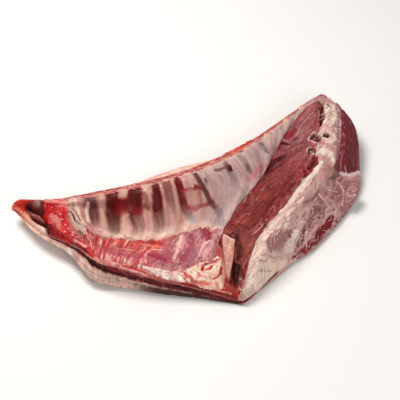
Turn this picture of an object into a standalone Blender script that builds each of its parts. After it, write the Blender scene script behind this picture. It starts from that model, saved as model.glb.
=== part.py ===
"""Rack of lamb ribs: a raw breast and rib rack with its flank flap, lying on its outer side, inner side up.

Units are metres, +Z is up. X runs from the neck end to the flank, Y from the split breastbone to the sawn
rib ends. Sizes below are in millimetres and become metres where a mesh is made.

The whole piece is one skin stretched over a few rails. A place on it has two coordinates: `along`, counted
in rib pitches from the neck cut, and `across`, counted in rails from the breastbone to the outer fat. Most
tissues are blocks of one grid on that skin, so neighbours share their facets with only a thin gap between.
"""

import math

import bmesh
import bpy
import numpy as np

MM = 0.001
GAP = 0.3

# Middle of the piece's box on the rails' own plan, which becomes the origin.
BOX_MIDDLE = (1.2, 3.2, 0.0)

# Stations along the piece: tip, gutter, neck cut, three in the ribs, costal arch, fat edge, ridge and
# the flank's edge.
STATIONS = (-2.3, -1.1, 0.0, 2.0, 4.0, 8.5, 13.0, 14.5, 16.0, 18.5)

# Rails across the piece, each a list of (x, y, height) at the stations above.
RAILS = (
    # upper edge of the split breastbone face
    [(-206, -26, 32), (-175, -57, 28), (-137, -82, 37), (-103, -110, 41), (-71, -120, 37),
     (10, -134, 20), (53, -142, 10), (59, -143, 10), (65, -139, 10), (75, -128, 6)],
    # crest of the fat behind the breastbone
    [(-205, -24, 33), (-175, -53, 31), (-136, -76, 40), (-102, -100, 41), (-68, -108, 37),
     (11, -124, 24), (59, -130, 22), (65, -117, 28), (78, -108, 35), (96, -104, 6)],
    # floor of the trough
    [(-205, -23, 33), (-177, -37, 26), (-138, -59, 37), (-102, -75, 25), (-58, -78, 16),
     (22, -76, 14), (72, -81, 29), (84, -65, 36), (101, -65, 45), (149, -61, 7)],
    # foot of the rib wall
    [(-205, -22, 34), (-177, -32, 31), (-144, -42, 34), (-100, -49, 19), (-48, -53, 17),
     (53, -29, 20), (92, -27, 34), (110, -29, 42), (130, -24, 52), (197, 4, 8)],
    # middle of the rib wall
    [(-205, -21, 35), (-176, -28, 37), (-149, -30, 34), (-103, -29, 28), (-51, -30, 27),
     (70, 13, 36), (122, 53, 38), (143, 48, 46), (162, 47, 54), (208, 58, 18)],
    # inner edge of the sawn rim
    [(-205, -20, 36), (-173, -25, 40), (-154, -25, 38), (-104, -18, 40), (-53, -7, 43),
     (57, 37, 49), (153, 130, 47), (163, 131, 48), (175, 119, 49), (203, 110, 30)],
    # outer edge of the sawn rim
    [(-206, -18, 35), (-173, -22, 38), (-156, -19, 36), (-106, -6, 36), (-56, 5, 39),
     (51, 50, 45), (158, 144, 43), (167, 146, 43), (177, 138, 41), (189, 130, 35)],
)
CREST, RIM, SKIN = 1, 5, 6

# How far across the piece each rail lies, as a share of the width from breastbone to rim.
RAIL_SHARES = (0.0, 0.1, 0.36, 0.56, 0.8, 1.0, 1.08, 1.16)

# Fat bulging out beyond the skin edge: least and greatest width, its middle and reach in rib pitches.
BULGE_LEAST, BULGE_MOST = 3.0, 13.0
BULGE_MIDDLE, BULGE_REACH = 5.6, 3.4
BULGE_DROP = 8.0

# Lift of the underside off the table at the stations, and along the far rim and the flank's edge.
NECK_LIFT = (27, 20, 17, 5, 0, 0, 0, 0, 0, 0)
RIM_LIFT = 12.0
FLANK_LIFT = 2.0
RIM_LIFT_ROWS = (3.9, 6.9)
FLANK_LIFT_COLUMNS = (17.2, 18.5)
LEAST_THICKNESS = 4.5

# Outer fat: usual thickness, its share of the near face's height, and its greatest share anywhere.
FAT_THICKNESS = 5.5
FAT_FACE_SHARE = 0.40
FAT_MOST_SHARE = 0.5

# The outer fat curls up as a lip in front of the neck's gutter, from the tip to this station.
LIP_END = -0.8

# Ribs: how many, half width and half thickness of the bone, depth of its middle under the lining.
RIB_COUNT = 12
RIB_HALF_WIDTH = 4.6
RIB_HALF_THICKNESS = 2.5
RIB_DEPTH = 5.6
RIB_DEPTH_LOSS = 0.2
RIB_TIP_SHARE = 0.8
RIB_SIDES = 8
RIB_RINGS = 6

# Row where a rib's blind end lies, how it climbs after the seventh rib, and the row where the rib turns up.
RIB_FOOT, RIB_FOOT_HIGHEST = 2.7, 4.25
RIB_FOOT_CLIMB, LAST_LOW_FOOT = 0.42, 7
RIB_TURN = 4.75

# Sawn end: how far it stands out, its place across the rim, and how far its tunnel's cutter runs past it.
SAW_PROUD = 0.6
SAWN_SHARE = 0.36
CUTTER_OVERRUN = 8.0

# Swell of the wall over each rib, and the rows and columns between which it comes and goes.
RIB_RELIEF = 1.3
RELIEF_FOOT_ROWS = (2.2, 3.0)
RELIEF_RIM_ROWS = (4.7, 5.1)
RELIEF_NECK_COLUMNS = (0.3, 1.0)
RELIEF_BORDER_WIDTH = 0.7

BREASTBONE_PIECES = 6
RIBS_PER_PIECE = 2

# The grid: rows across at and between the rails, columns along at and between the ribs.
ROWS = (0.0, 0.5, 1.0, 1.4, 2.0, 2.5, 3.0, 3.5, 4.0, 4.5, 5.0, 5.7, 6.0, 7.0)
NECK_COLUMNS = (-2.3, -1.9, -1.5, -1.1, -0.7, -0.35)
RIB_COLUMNS = tuple(0.5 * half for half in range(27))
FLANK_COLUMNS = (13.5, 14.0, 14.5, 15.0, 15.5, 16.0, 16.6, 17.2, 17.8, 18.5)
COLUMNS = NECK_COLUMNS + RIB_COLUMNS + FLANK_COLUMNS

# Lines of the grid where one tissue gives way to the next.
TIP, NECK_CUT, BONE_END, FLANK_START, FLANK_EDGE = -2.3, -0.7, 0.5, 13.0, 18.5
NEAR_EDGE, RIM_START, OUTER_EDGE = 0.0, 5.7, 7.0
LOBE_COLUMN, LOBE_ROW = 17.2, 3.5
BORDER_PULL = 0.75 * GAP

# Diaphragm: a sheet whose free and fixed borders are places (along, across) on the skin.
FREE_BORDER = ((8.9, 2.15), (8.3, 2.75), (8.4, 3.35), (9.9, 4.0), (11.1, 4.5), (12.6, 4.95))
FIXED_BORDER = ((12.2, 1.6), (14.2, 2.0), (14.7, 2.9), (15.0, 3.6), (14.8, 4.3), (14.4, 4.9))
DIAPHRAGM_THICKNESS = 4.5
DIAPHRAGM_RINGS, DIAPHRAGM_POINTS = 13, 8
CROWN_START, CROWN_END = 0.08, 0.92
SHEET_CLEARANCE = 1.4

# Tendon flap: a narrow strip lying down the trough's end below the diaphragm.
FLAP_LINE = ((9.45, 1.9), (9.8, 1.8), (10.2, 1.65), (10.5, 1.5))
FLAP_WIDTHS = (14.0, 12.0, 9.0, 4.0)
FLAP_THICKNESS = 2.5
FLAP_RINGS = 7
FLAP_CLEARANCE = 0.5

# Loose corner of the fascia: where it leaves the skin, its reach past there, widths and thickness.
TAB_ROOT = (18.1, 3.1)
TAB_REACH = 13.0
TAB_WIDTHS = (16.0, 11.0, 3.0)
TAB_THICKNESS = 2.0
TAB_CLEARANCE = 4.0

# Thickness of the sheets and pads that lie on the chest wall, and of their thin edges.
MUSCLE_SHEET = 2.5
FAT_PAD = 2.5
BELLY_FAT = 6.0
PAD_EDGE = 0.8

# Where they lie: the muscle narrows from its middle column on.
MUSCLE_COLUMNS = (1.0, 8.0, 9.0)
MUSCLE_ROWS = (1.4, 2.0, 2.5)
BREAST_FAT_COLUMNS = (1.5, 7.5)
BELLY_FAT_COLUMNS = (7.5, 10.5)
PAD_ROWS = (0.5, 1.4)

# Colour and roughness of each tissue.
TISSUES = {
    "outer_fat": ((0.80, 0.62, 0.50), 0.4),
    "lean_meat": ((0.36, 0.07, 0.06), 0.35),
    "rib_lining": ((0.58, 0.36, 0.30), 0.3),
    "bone": ((0.72, 0.55, 0.42), 0.5),
    "red_marrow": ((0.50, 0.03, 0.03), 0.35),
    "flank_fascia": ((0.56, 0.30, 0.28), 0.35),
    "tendon": ((0.66, 0.45, 0.38), 0.4),
}


def smooth_step(share):
    share = np.clip(share, 0.0, 1.0)
    return share * share * (3.0 - 2.0 * share)


def ramp(value, limits):
    """0 before the first limit, 1 after the second, and smooth between them."""
    return float(smooth_step((value - limits[0]) / (limits[1] - limits[0])))


def spline(knots, values, at):
    """Value at `at` of the smooth curve through `values`, one at each knot."""
    knots = np.asarray(knots, float)
    values = np.asarray(values, float)
    steps = np.diff(knots)
    slopes = np.diff(values, axis=0) / steps.reshape(-1, *([1] * (values.ndim - 1)))
    tangents = np.empty_like(values)
    tangents[0], tangents[-1] = slopes[0], slopes[-1]
    for i in range(1, len(knots) - 1):
        share = steps[i - 1] / (steps[i - 1] + steps[i])
        tangents[i] = slopes[i - 1] * (1 - share) + slopes[i] * share
    at = min(max(at, knots[0]), knots[-1])
    i = min(max(int(np.searchsorted(knots, at, side="right")) - 1, 0), len(knots) - 2)
    t = (at - knots[i]) / steps[i]
    return (
        (2 * t**3 - 3 * t**2 + 1) * values[i]
        + (t**3 - 2 * t**2 + t) * steps[i] * tangents[i]
        + (3 * t**2 - 2 * t**3) * values[i + 1]
        + (t**3 - t**2) * steps[i] * tangents[i + 1]
    )


def rail_points(along):
    """The points of all rails at one station, with the fat's bulge as the last."""
    points = [spline(STATIONS, rail, along) for rail in RAILS]
    outward = points[SKIN][:2] - points[RIM][:2]
    outward /= np.linalg.norm(outward)
    swell = smooth_step(1.0 - abs(along - BULGE_MIDDLE) / BULGE_REACH)
    reach = BULGE_LEAST + (BULGE_MOST - BULGE_LEAST) * swell
    bulge = points[SKIN].copy()
    bulge[:2] += outward * reach
    bulge[2] -= BULGE_DROP
    return np.array(points + [bulge])


def skin(along, across):
    """Point of the smooth inner skin, in millimetres."""
    share = np.interp(across, range(len(RAIL_SHARES)), RAIL_SHARES)
    return spline(RAIL_SHARES, rail_points(along), share)


def free_border(across):
    """How far along the diaphragm's free border lies."""
    alongs, rows = zip(*FREE_BORDER)
    return float(np.interp(across, rows, alongs))


def rib_relief(along, across):
    """Rise over a rib and dip between two, fading out at the trough, the rim and under the diaphragm."""
    border = free_border(across)
    window = ramp(across, RELIEF_FOOT_ROWS) * (1.0 - ramp(across, RELIEF_RIM_ROWS))
    window *= ramp(along, RELIEF_NECK_COLUMNS) * (1.0 - ramp(along, (border - RELIEF_BORDER_WIDTH, border)))
    return RIB_RELIEF * math.cos(2 * math.pi * along) * window


def underside(along, across, top):
    """Height of the outer side: flat where it rests, lifted at the neck, the far rim and the flank's edge."""
    lift = max(float(spline(STATIONS, NECK_LIFT, along)), 0.0)
    lift += RIM_LIFT * ramp(across, RIM_LIFT_ROWS)
    lift += FLANK_LIFT * ramp(along, FLANK_LIFT_COLUMNS)
    return min(lift, top - LEAST_THICKNESS)


def fat_top(along, across, low, top):
    """Height where the outer fat meets the meat: it climbs the near face to cover its lower part."""
    near = 1.0 - ramp(across, (NEAR_EDGE, CREST))
    thickness = FAT_THICKNESS + near * max((top - low) * FAT_FACE_SHARE - FAT_THICKNESS, 0.0)
    return low + min(thickness, FAT_MOST_SHARE * (top - low))


def make_grid():
    """Plan positions and heights at every crossing of a column and a row: top, underside, foot of the meat
    and top of the outer fat, which rises to the top at the neck's lip."""
    shape = (len(COLUMNS), len(ROWS))
    plan = np.zeros(shape + (2,))
    top, low, meat_foot, fat_height = (np.zeros(shape) for _ in range(4))
    for i, along in enumerate(COLUMNS):
        for j, across in enumerate(ROWS):
            x, y, height = skin(along, across)
            plan[i, j] = x, y
            top[i, j] = height + rib_relief(along, across)
            low[i, j] = underside(along, across, top[i, j])
            fat_line = fat_top(along, across, low[i, j], top[i, j])
            meat_foot[i, j] = fat_line + GAP
            at_lip = along < LIP_END and across < CREST
            fat_height[i, j] = top[i, j] if at_lip else fat_line
    return plan, top, low, meat_foot, fat_height


def cells(along=(TIP, FLANK_EDGE), across=(NEAR_EDGE, OUTER_EDGE)):
    """The grid's cells between two places along and two places across."""
    middle_along = 0.5 * (np.array(COLUMNS[:-1]) + np.array(COLUMNS[1:]))
    middle_across = 0.5 * (np.array(ROWS[:-1]) + np.array(ROWS[1:]))
    inside_along = (middle_along > along[0]) & (middle_along < along[1])
    inside_across = (middle_across > across[0]) & (middle_across < across[1])
    return np.outer(inside_along, inside_across)


def meat_material(name, colour, roughness):
    material = bpy.data.materials.new(name)
    material.use_nodes = True
    shader = material.node_tree.nodes["Principled BSDF"]
    shader.inputs["Base Color"].default_value = (*colour, 1.0)
    shader.inputs["Roughness"].default_value = roughness
    shader.inputs["Metallic"].default_value = 0.0
    return material


def add_solid(name, points, faces, material, collection):
    """A closed solid from points in millimetres, with its faces turned outward."""
    mesh = bpy.data.meshes.new(name)
    places = [tuple(float(c - m) * MM for c, m in zip(point, BOX_MIDDLE)) for point in points]
    mesh.from_pydata(places, [], faces)
    build = bmesh.new()
    build.from_mesh(mesh)
    bmesh.ops.triangulate(build, faces=[face for face in build.faces if len(face.verts) > 4])
    bmesh.ops.recalc_face_normals(build, faces=build.faces)
    build.to_mesh(mesh)
    build.free()
    mesh.materials.append(material)
    solid = bpy.data.objects.new(name, mesh)
    collection.objects.link(solid)
    return solid


def add_block(name, chosen, plan, bottom, height, material, collection):
    """The chosen cells as one solid between two heights, drawn in by half the gap along its border."""
    corners = {}
    pull = {}
    for i, j in np.argwhere(chosen):
        middle = plan[i : i + 2, j : j + 2].reshape(-1, 2).mean(axis=0)
        for corner in ((i, j), (i + 1, j), (i + 1, j + 1), (i, j + 1)):
            corners.setdefault(corner, len(corners))
            pull.setdefault(corner, []).append(middle - plan[corner])
    points = []
    for corner in corners:
        place = plan[corner].copy()
        if len(pull[corner]) < 4:
            inward = sum(direction / np.linalg.norm(direction) for direction in pull[corner])
            place += inward / np.linalg.norm(inward) * BORDER_PULL
        points.append((*place, bottom[corner]))
        points.append((*place, height[corner]))
    faces = []
    for i, j in np.argwhere(chosen):
        a, b, c, d = (corners[corner] for corner in ((i, j), (i + 1, j), (i + 1, j + 1), (i, j + 1)))
        faces += [(2 * a + 1, 2 * b + 1, 2 * c + 1), (2 * a + 1, 2 * c + 1, 2 * d + 1)]
        faces += [(2 * c, 2 * b, 2 * a), (2 * d, 2 * c, 2 * a)]
        sides = (((i, j - 1), a, b), ((i + 1, j), b, c), ((i, j + 1), c, d), ((i - 1, j), d, a))
        for (k, m), p, q in sides:
            outside = k < 0 or m < 0 or k >= chosen.shape[0] or m >= chosen.shape[1]
            if outside or not chosen[k, m]:
                faces.append((2 * p, 2 * q, 2 * q + 1, 2 * p + 1))
    return add_solid(name, points, faces, material, collection)


def add_loft(name, rings, material, collection):
    """A solid through closed rings of equal point counts, with flat ends."""
    count = len(rings[0])
    points = [point for ring in rings for point in ring]
    faces = []
    for k in range(len(rings) - 1):
        for m in range(count):
            n = (m + 1) % count
            a, b, c, d = k * count + m, k * count + n, (k + 1) * count + n, (k + 1) * count + m
            faces += [(a, b, c), (a, c, d)]
    faces.append(tuple(range(count)))
    faces.append(tuple((len(rings) - 1) * count + m for m in range(count)))
    return add_solid(name, points, faces, material, collection)


def skin_frame(along, across):
    """Point on the skin with its unit directions along the ribs' spacing and out of the meat."""
    step = 0.05
    point = skin(along, across)
    sideways = skin(along + step, across) - skin(along - step, across)
    lengthways = skin(along, across + step) - skin(along, across - step)
    outward = np.cross(sideways, lengthways)
    sideways -= lengthways * sideways.dot(lengthways) / lengthways.dot(lengthways)
    return point, sideways / np.linalg.norm(sideways), outward / np.linalg.norm(outward)


def rib_rings(rib, grow, overrun):
    """Oval rings along one rib, from its blind front end to its sawn end in the rim."""
    foot = min(RIB_FOOT + RIB_FOOT_CLIMB * max(rib - LAST_LOW_FOOT, 0), RIB_FOOT_HIGHEST)
    centres, frames = [], []
    for across in np.linspace(foot, RIB_TURN, RIB_RINGS):
        point, sideways, outward = skin_frame(rib, across)
        depth = RIB_DEPTH - RIB_DEPTH_LOSS * (RIM - across)
        centres.append(point - outward * depth)
        frames.append((sideways, outward))
    front = centres[1] - centres[0]
    centres[0] = centres[0] - front / np.linalg.norm(front) * grow
    sawn_end = skin(rib, RIM) * (1 - SAWN_SHARE) + skin(rib, SKIN) * SAWN_SHARE
    rise = sawn_end - centres[-1]
    rise /= np.linalg.norm(rise)
    centres.append(sawn_end + rise * (SAW_PROUD + overrun))
    frames.append(frames[-1])
    rings = []
    for k, (centre, (sideways, outward)) in enumerate(zip(centres, frames)):
        taper = RIB_TIP_SHARE if k == 0 else 1.0
        ring = []
        for m in range(RIB_SIDES):
            turn = 2 * math.pi * (m + 0.5) / RIB_SIDES
            width = (RIB_HALF_WIDTH * taper + grow) * math.cos(turn)
            thick = (RIB_HALF_THICKNESS * taper + grow) * math.sin(turn)
            ring.append(centre + sideways * width + outward * thick)
        rings.append(ring)
    return rings


def cut_away(solid, cutter):
    cut = solid.modifiers.new("tunnel_" + cutter.name, "BOOLEAN")
    cut.operation = "DIFFERENCE"
    cut.object = cutter
    cutter.hide_render = True
    cutter.display_type = "WIRE"


def border_curve(border, share):
    return spline(np.linspace(0, 1, len(border)), border, share)


def add_diaphragm(material, collection):
    """The midriff: a sheet from its free border over the last ribs to its root beside the flank's fat."""
    rings = []
    for share in np.linspace(0, 1, DIAPHRAGM_RINGS):
        start = border_curve(FREE_BORDER, share)
        end = border_curve(FIXED_BORDER, share)
        lower, upper = [], []
        for t in np.linspace(0, 1, DIAPHRAGM_POINTS):
            along, across = start + (end - start) * t
            x, y, height = skin(along, across)
            crown = math.sin(math.pi * (CROWN_START + (CROWN_END - CROWN_START) * t)) ** 0.5
            height += SHEET_CLEARANCE
            lower.append((x, y, height))
            upper.append((x, y, height + DIAPHRAGM_THICKNESS * crown))
        rings.append(lower + upper[::-1])
    return add_loft("diaphragm", rings, material, collection)


def add_tendon_flap(material, collection):
    """Pale strip of tendon that hangs from the diaphragm's end."""
    rings = []
    for share in np.linspace(0, 1, FLAP_RINGS):
        along, across = border_curve(FLAP_LINE, share)
        point, sideways, outward = skin_frame(along, across)
        side = sideways * 0.5 * float(border_curve(FLAP_WIDTHS, share))
        base = point + outward * (SHEET_CLEARANCE + FAT_PAD + FLAP_CLEARANCE)
        tip = base + outward * FLAP_THICKNESS
        rings.append([base - side, base + side, tip + side, tip - side])
    return add_loft("tendon_flap", rings, material, collection)


def add_fascia_tab(material, collection):
    """Loose corner of the flank's fascia, standing out past its edge."""
    along, across = TAB_ROOT
    root = skin(along, across)
    root[2] += TAB_CLEARANCE
    across_way = np.array([0.0, 1.0, 0.0])
    out_way = np.array([1.0, 0.0, 0.0])
    lift = np.array([0.0, 0.0, TAB_THICKNESS])
    rings = []
    for share, width in zip(np.linspace(0, 1, len(TAB_WIDTHS)), TAB_WIDTHS):
        centre = root + out_way * TAB_REACH * share
        side = across_way * width * 0.5
        rings.append([centre - side, centre + side, centre + side + lift, centre - side + lift])
    return add_loft("fascia_tab", rings, material, collection)


def padded(top, chosen, thickness):
    """Heights over the chosen cells: full thickness inside them and a thin edge around them."""
    height = top.copy()
    for i in range(top.shape[0]):
        for j in range(top.shape[1]):
            around = chosen[max(i - 1, 0) : i + 1, max(j - 1, 0) : j + 1]
            inside = around.size == 4 and around.all()
            height[i, j] += GAP + (thickness if inside else PAD_EDGE)
    return height


def clear_scene():
    for thing in list(bpy.data.objects):
        bpy.data.objects.remove(thing)


def new_collection(name):
    collection = bpy.data.collections.new(name)
    bpy.context.scene.collection.children.link(collection)
    return collection


def sternebra_cells(piece):
    """One piece of the split breastbone behind the manubrium: the first and last reach its ends."""
    first = BONE_END + RIBS_PER_PIECE * piece
    last = FLANK_START if piece == BREASTBONE_PIECES - 1 else first + RIBS_PER_PIECE
    return cells((first, last), (NEAR_EDGE, CREST))


def add_tissue_blocks(grid, materials, collection):
    """The blocks that fill the grid. The wall that holds the ribs is returned."""
    plan, top, low, meat_foot, fat_height = grid
    fat_cells = cells(across=(NEAR_EDGE, RIM_START)) | cells(along=(FLANK_START, FLANK_EDGE))
    flank_cells = cells(along=(FLANK_START, FLANK_EDGE)) & ~lobe_cells()
    blocks = [
        ("fat_cover", fat_cells, low, fat_height, "outer_fat"),
        ("rim_fat", cells((TIP, FLANK_START), (RIM_START, OUTER_EDGE)), low, top, "outer_fat"),
        ("neck_muscle", cells((TIP, NECK_CUT), (CREST, RIM_START)), meat_foot, top, "lean_meat"),
        ("manubrium", cells((NECK_CUT, BONE_END), (NEAR_EDGE, RIM_START)), meat_foot, top, "red_marrow"),
        ("flank", flank_cells, meat_foot, top, "flank_fascia"),
        ("flank_lobe", lobe_cells(), meat_foot, top, "lean_meat"),
    ]
    for piece in range(BREASTBONE_PIECES):
        blocks.append((f"sternebra_{piece + 1}", sternebra_cells(piece), meat_foot, top, "red_marrow"))
    for name, chosen, bottom, height, slot in blocks:
        add_block(name, chosen, plan, bottom, height, materials[slot], collection)
    wall = cells((BONE_END, FLANK_START), (CREST, RIM_START))
    return add_block("chest_wall", wall, plan, meat_foot, top, materials["rib_lining"], collection)


def add_ribs(chest_wall, material, collection, cutters):
    """The rib bones, each in its own tunnel through the chest wall."""
    for rib in range(1, RIB_COUNT + 1):
        add_loft(f"rib_{rib:02d}", rib_rings(rib, 0.0, 0.0), material, collection)
        tunnel = add_loft(f"tunnel_{rib:02d}", rib_rings(rib, GAP, CUTTER_OVERRUN), material, cutters)
        cut_away(chest_wall, tunnel)


def add_pads(grid, materials, collection):
    """The muscle sheet and the fat that lie on the chest wall along the breastbone."""
    plan, top = grid[0], grid[1]
    pads = (
        ("inner_chest_muscle", inner_muscle_cells(), MUSCLE_SHEET, "lean_meat"),
        ("breast_fat", cells(BREAST_FAT_COLUMNS, PAD_ROWS), FAT_PAD, "outer_fat"),
        ("belly_fat", cells(BELLY_FAT_COLUMNS, PAD_ROWS), BELLY_FAT, "outer_fat"),
    )
    for name, chosen, thickness, slot in pads:
        add_block(name, chosen, plan, top + GAP, padded(top, chosen, thickness), materials[slot], collection)


def build():
    clear_scene()
    rack = new_collection("rack_of_lamb_ribs")
    cutters = new_collection("cutters")
    materials = {name: meat_material(name, *look) for name, look in TISSUES.items()}
    grid = make_grid()
    chest_wall = add_tissue_blocks(grid, materials, rack)
    add_ribs(chest_wall, materials["bone"], rack, cutters)
    add_pads(grid, materials, rack)
    add_diaphragm(materials["lean_meat"], rack)
    add_tendon_flap(materials["tendon"], rack)
    add_fascia_tab(materials["flank_fascia"], rack)


def inner_muscle_cells():
    """The muscle over the breastbone's inner side, ending where the diaphragm begins."""
    first, middle, last = MUSCLE_COLUMNS
    low, shoulder, high = MUSCLE_ROWS
    return cells((first, middle), (low, high)) | cells((middle, last), (low, shoulder))


def lobe_cells():
    """The rounded red muscle on the flank's far outer corner."""
    return cells((LOBE_COLUMN, FLANK_EDGE), (LOBE_ROW, OUTER_EDGE))


build()
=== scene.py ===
"""The looks of a raw rack of lamb ribs with its flank flap, inner side up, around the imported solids.

Sizes are in millimetres on the rails' own plan until a mesh is made. A place on the meat is given as
`along`, counted in rib pitches from the neck cut, and `across`, counted in rails from the breastbone.
"""

import math

import bpy
import numpy as np
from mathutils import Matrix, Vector


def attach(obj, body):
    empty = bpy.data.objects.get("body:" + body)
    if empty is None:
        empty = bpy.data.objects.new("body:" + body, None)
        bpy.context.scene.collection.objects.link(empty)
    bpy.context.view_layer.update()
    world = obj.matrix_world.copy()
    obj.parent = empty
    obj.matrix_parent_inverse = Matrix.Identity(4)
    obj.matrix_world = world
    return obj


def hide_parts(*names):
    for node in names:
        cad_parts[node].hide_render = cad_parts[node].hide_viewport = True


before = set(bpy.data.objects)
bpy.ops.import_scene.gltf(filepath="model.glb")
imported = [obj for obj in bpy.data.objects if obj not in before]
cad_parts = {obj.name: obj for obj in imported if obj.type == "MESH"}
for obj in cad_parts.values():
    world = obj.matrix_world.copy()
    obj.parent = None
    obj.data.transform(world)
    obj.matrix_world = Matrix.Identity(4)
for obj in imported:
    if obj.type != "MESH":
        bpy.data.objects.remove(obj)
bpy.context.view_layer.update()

MM = 0.001
# The middle of the object's box on the rails' plan, which is the shared frame's origin.
BOX_MIDDLE = np.array((1.2, 3.2, 0.0))

# ------------------------------------------------------------------ the skin that the solids are cut from

# Stations along the meat: tip, gutter, neck cut, three in the ribs, costal arch, fat edge, ridge and the
# flank's edge.
STATIONS = (-2.3, -1.1, 0.0, 2.0, 4.0, 8.5, 13.0, 14.5, 16.0, 18.5)
# Rails across the meat, each a list of (x, y, height) at the stations above.
RAILS = (
    # upper edge of the split breastbone face
    [(-206, -26, 32), (-175, -57, 28), (-137, -82, 37), (-103, -110, 41), (-71, -120, 37),
     (10, -134, 20), (53, -142, 10), (59, -143, 10), (65, -139, 10), (75, -128, 6)],
    # crest of the fat behind the breastbone
    [(-205, -24, 33), (-175, -53, 31), (-136, -76, 40), (-102, -100, 41), (-68, -108, 37),
     (11, -124, 24), (59, -130, 22), (65, -117, 28), (78, -108, 35), (96, -104, 6)],
    # floor of the trough
    [(-205, -23, 33), (-177, -37, 26), (-138, -59, 37), (-102, -75, 25), (-58, -78, 16),
     (22, -76, 14), (72, -81, 29), (84, -65, 36), (101, -65, 45), (149, -61, 7)],
    # foot of the rib wall
    [(-205, -22, 34), (-177, -32, 31), (-144, -42, 34), (-100, -49, 19), (-48, -53, 17),
     (53, -29, 20), (92, -27, 34), (110, -29, 42), (130, -24, 52), (197, 4, 8)],
    # middle of the rib wall
    [(-205, -21, 35), (-176, -28, 37), (-149, -30, 34), (-103, -29, 28), (-51, -30, 27),
     (70, 13, 36), (122, 53, 38), (143, 48, 46), (162, 47, 54), (208, 58, 18)],
    # inner edge of the sawn rim
    [(-205, -20, 36), (-173, -25, 40), (-154, -25, 38), (-104, -18, 40), (-53, -7, 43),
     (57, 37, 49), (153, 130, 47), (163, 131, 48), (175, 119, 49), (203, 110, 30)],
    # outer edge of the sawn rim
    [(-206, -18, 35), (-173, -22, 38), (-156, -19, 36), (-106, -6, 36), (-56, 5, 39),
     (51, 50, 45), (158, 144, 43), (167, 146, 43), (177, 138, 41), (189, 130, 35)],
)

# How far across the meat each rail lies, as a share of the width from breastbone to rim.
RAIL_SHARES = (0.0, 0.1, 0.36, 0.56, 0.8, 1.0, 1.08, 1.16)

# Fat bulging out beyond the last rail: least and greatest width, its middle and reach in rib pitches.
BULGE_LEAST, BULGE_MOST = 3.0, 13.0
BULGE_MIDDLE, BULGE_REACH = 5.6, 3.4
BULGE_DROP = 8.0

# Lift of the outer side off the table at the stations, and along the far rim and the flank's edge.
NECK_LIFT = (27, 20, 17, 5, 0, 0, 0, 0, 0, 0)
RIM_LIFT, RIM_LIFT_START, RIM_LIFT_REACH = 12.0, 3.9, 3.0
FLANK_LIFT, FLANK_LIFT_START, FLANK_LIFT_REACH = 2.0, 17.2, 1.3
LEAST_THICKNESS = 4.5

# Outer fat: usual thickness, its share of the near face's height, and its greatest share anywhere.
FAT_THICKNESS = 5.5
FAT_FACE_SHARE = 0.40
FAT_MOST_SHARE = 0.5

# The outer fat curls up as a lip in front of the neck's gutter, from the tip to this station.
LIP_END = -0.8

RIB_COUNT = 12
# The diaphragm's two borders: free over the ribs, and fixed along the flank.
FREE_BORDER = ((8.9, 2.15), (8.3, 2.75), (8.4, 3.35), (9.9, 4.0), (11.1, 4.5), (12.6, 4.95))
FIXED_BORDER = ((12.2, 1.6), (14.2, 2.0), (14.7, 2.9), (15.0, 3.6), (14.8, 4.3), (14.4, 4.9))


def ease(share):
    """0 up to 0, 1 from 1 on, and an easy rise between."""
    share = np.clip(share, 0.0, 1.0)
    return share * share * (3.0 - 2.0 * share)


def ridge(distance, width):
    """1 where the distance is 0, falling to 0 at the given width on both sides."""
    return ease(1 - np.abs(distance) / width)


def unit(ways):
    """Each way with a length of 1."""
    return ways / np.linalg.norm(ways, axis=1)[:, None]


def evenly(values, share):
    """A value at each share of the way through a few values that are evenly spaced."""
    return np.interp(share, np.linspace(0, 1, len(values)), values)


def spline(knots, values, at):
    """The smooth curve through `values`, one at each knot, at all the positions `at`."""
    knots, values, at = np.asarray(knots, float), np.asarray(values, float), np.asarray(at, float)
    wide = [1] * (values.ndim - 1)
    steps = np.diff(knots)
    slopes = np.diff(values, axis=0) / steps.reshape(-1, *wide)
    share = (steps[:-1] / (steps[:-1] + steps[1:])).reshape(-1, *wide)
    tangents = np.concatenate([slopes[:1], slopes[:-1] * (1 - share) + slopes[1:] * share, slopes[-1:]])
    at = np.clip(at, knots[0], knots[-1])
    i = np.clip(np.searchsorted(knots, at, side="right") - 1, 0, len(knots) - 2)
    t = ((at - knots[i]) / steps[i]).reshape(-1, *wide)
    step = steps[i].reshape(-1, *wide)
    return (
        (2 * t**3 - 3 * t**2 + 1) * values[i]
        + (t**3 - 2 * t**2 + t) * step * tangents[i]
        + (3 * t**2 - 2 * t**3) * values[i + 1]
        + (t**3 - t**2) * step * tangents[i + 1]
    )


def skin(along, across):
    """Points of the smooth inner skin at places given as two flat arrays."""
    rails = spline(STATIONS, np.array(RAILS, float).transpose(1, 0, 2), along)
    outward = unit(rails[:, 6, :2] - rails[:, 5, :2])
    width = ease(1.0 - np.abs(along - BULGE_MIDDLE) / BULGE_REACH)
    reach = BULGE_LEAST + (BULGE_MOST - BULGE_LEAST) * width
    bulge = rails[:, 6].copy()
    bulge[:, :2] += outward * reach[:, None]
    bulge[:, 2] -= BULGE_DROP
    rails = np.concatenate([rails, bulge[:, None]], axis=1)
    shares = np.interp(across, range(8), RAIL_SHARES)
    return np.einsum("nk,nkd->nd", spline(RAIL_SHARES, np.eye(8), shares), rails)


def underside(along, across, top):
    """Height of the outer side, which lifts at the neck, the far rim and the flank's edge."""
    lift = np.maximum(spline(STATIONS, NECK_LIFT, along), 0.0)
    lift = lift + RIM_LIFT * ease((across - RIM_LIFT_START) / RIM_LIFT_REACH)
    lift = lift + FLANK_LIFT * ease((along - FLANK_LIFT_START) / FLANK_LIFT_REACH)
    return np.maximum(np.minimum(lift, top - LEAST_THICKNESS), 0.0)


def lip_share(along, across):
    """1 where the outer fat curls up as the neck's lip."""
    return ease((LIP_END + 0.1 - along) / 0.2) * ease((1.08 - across) / 0.16)


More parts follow.
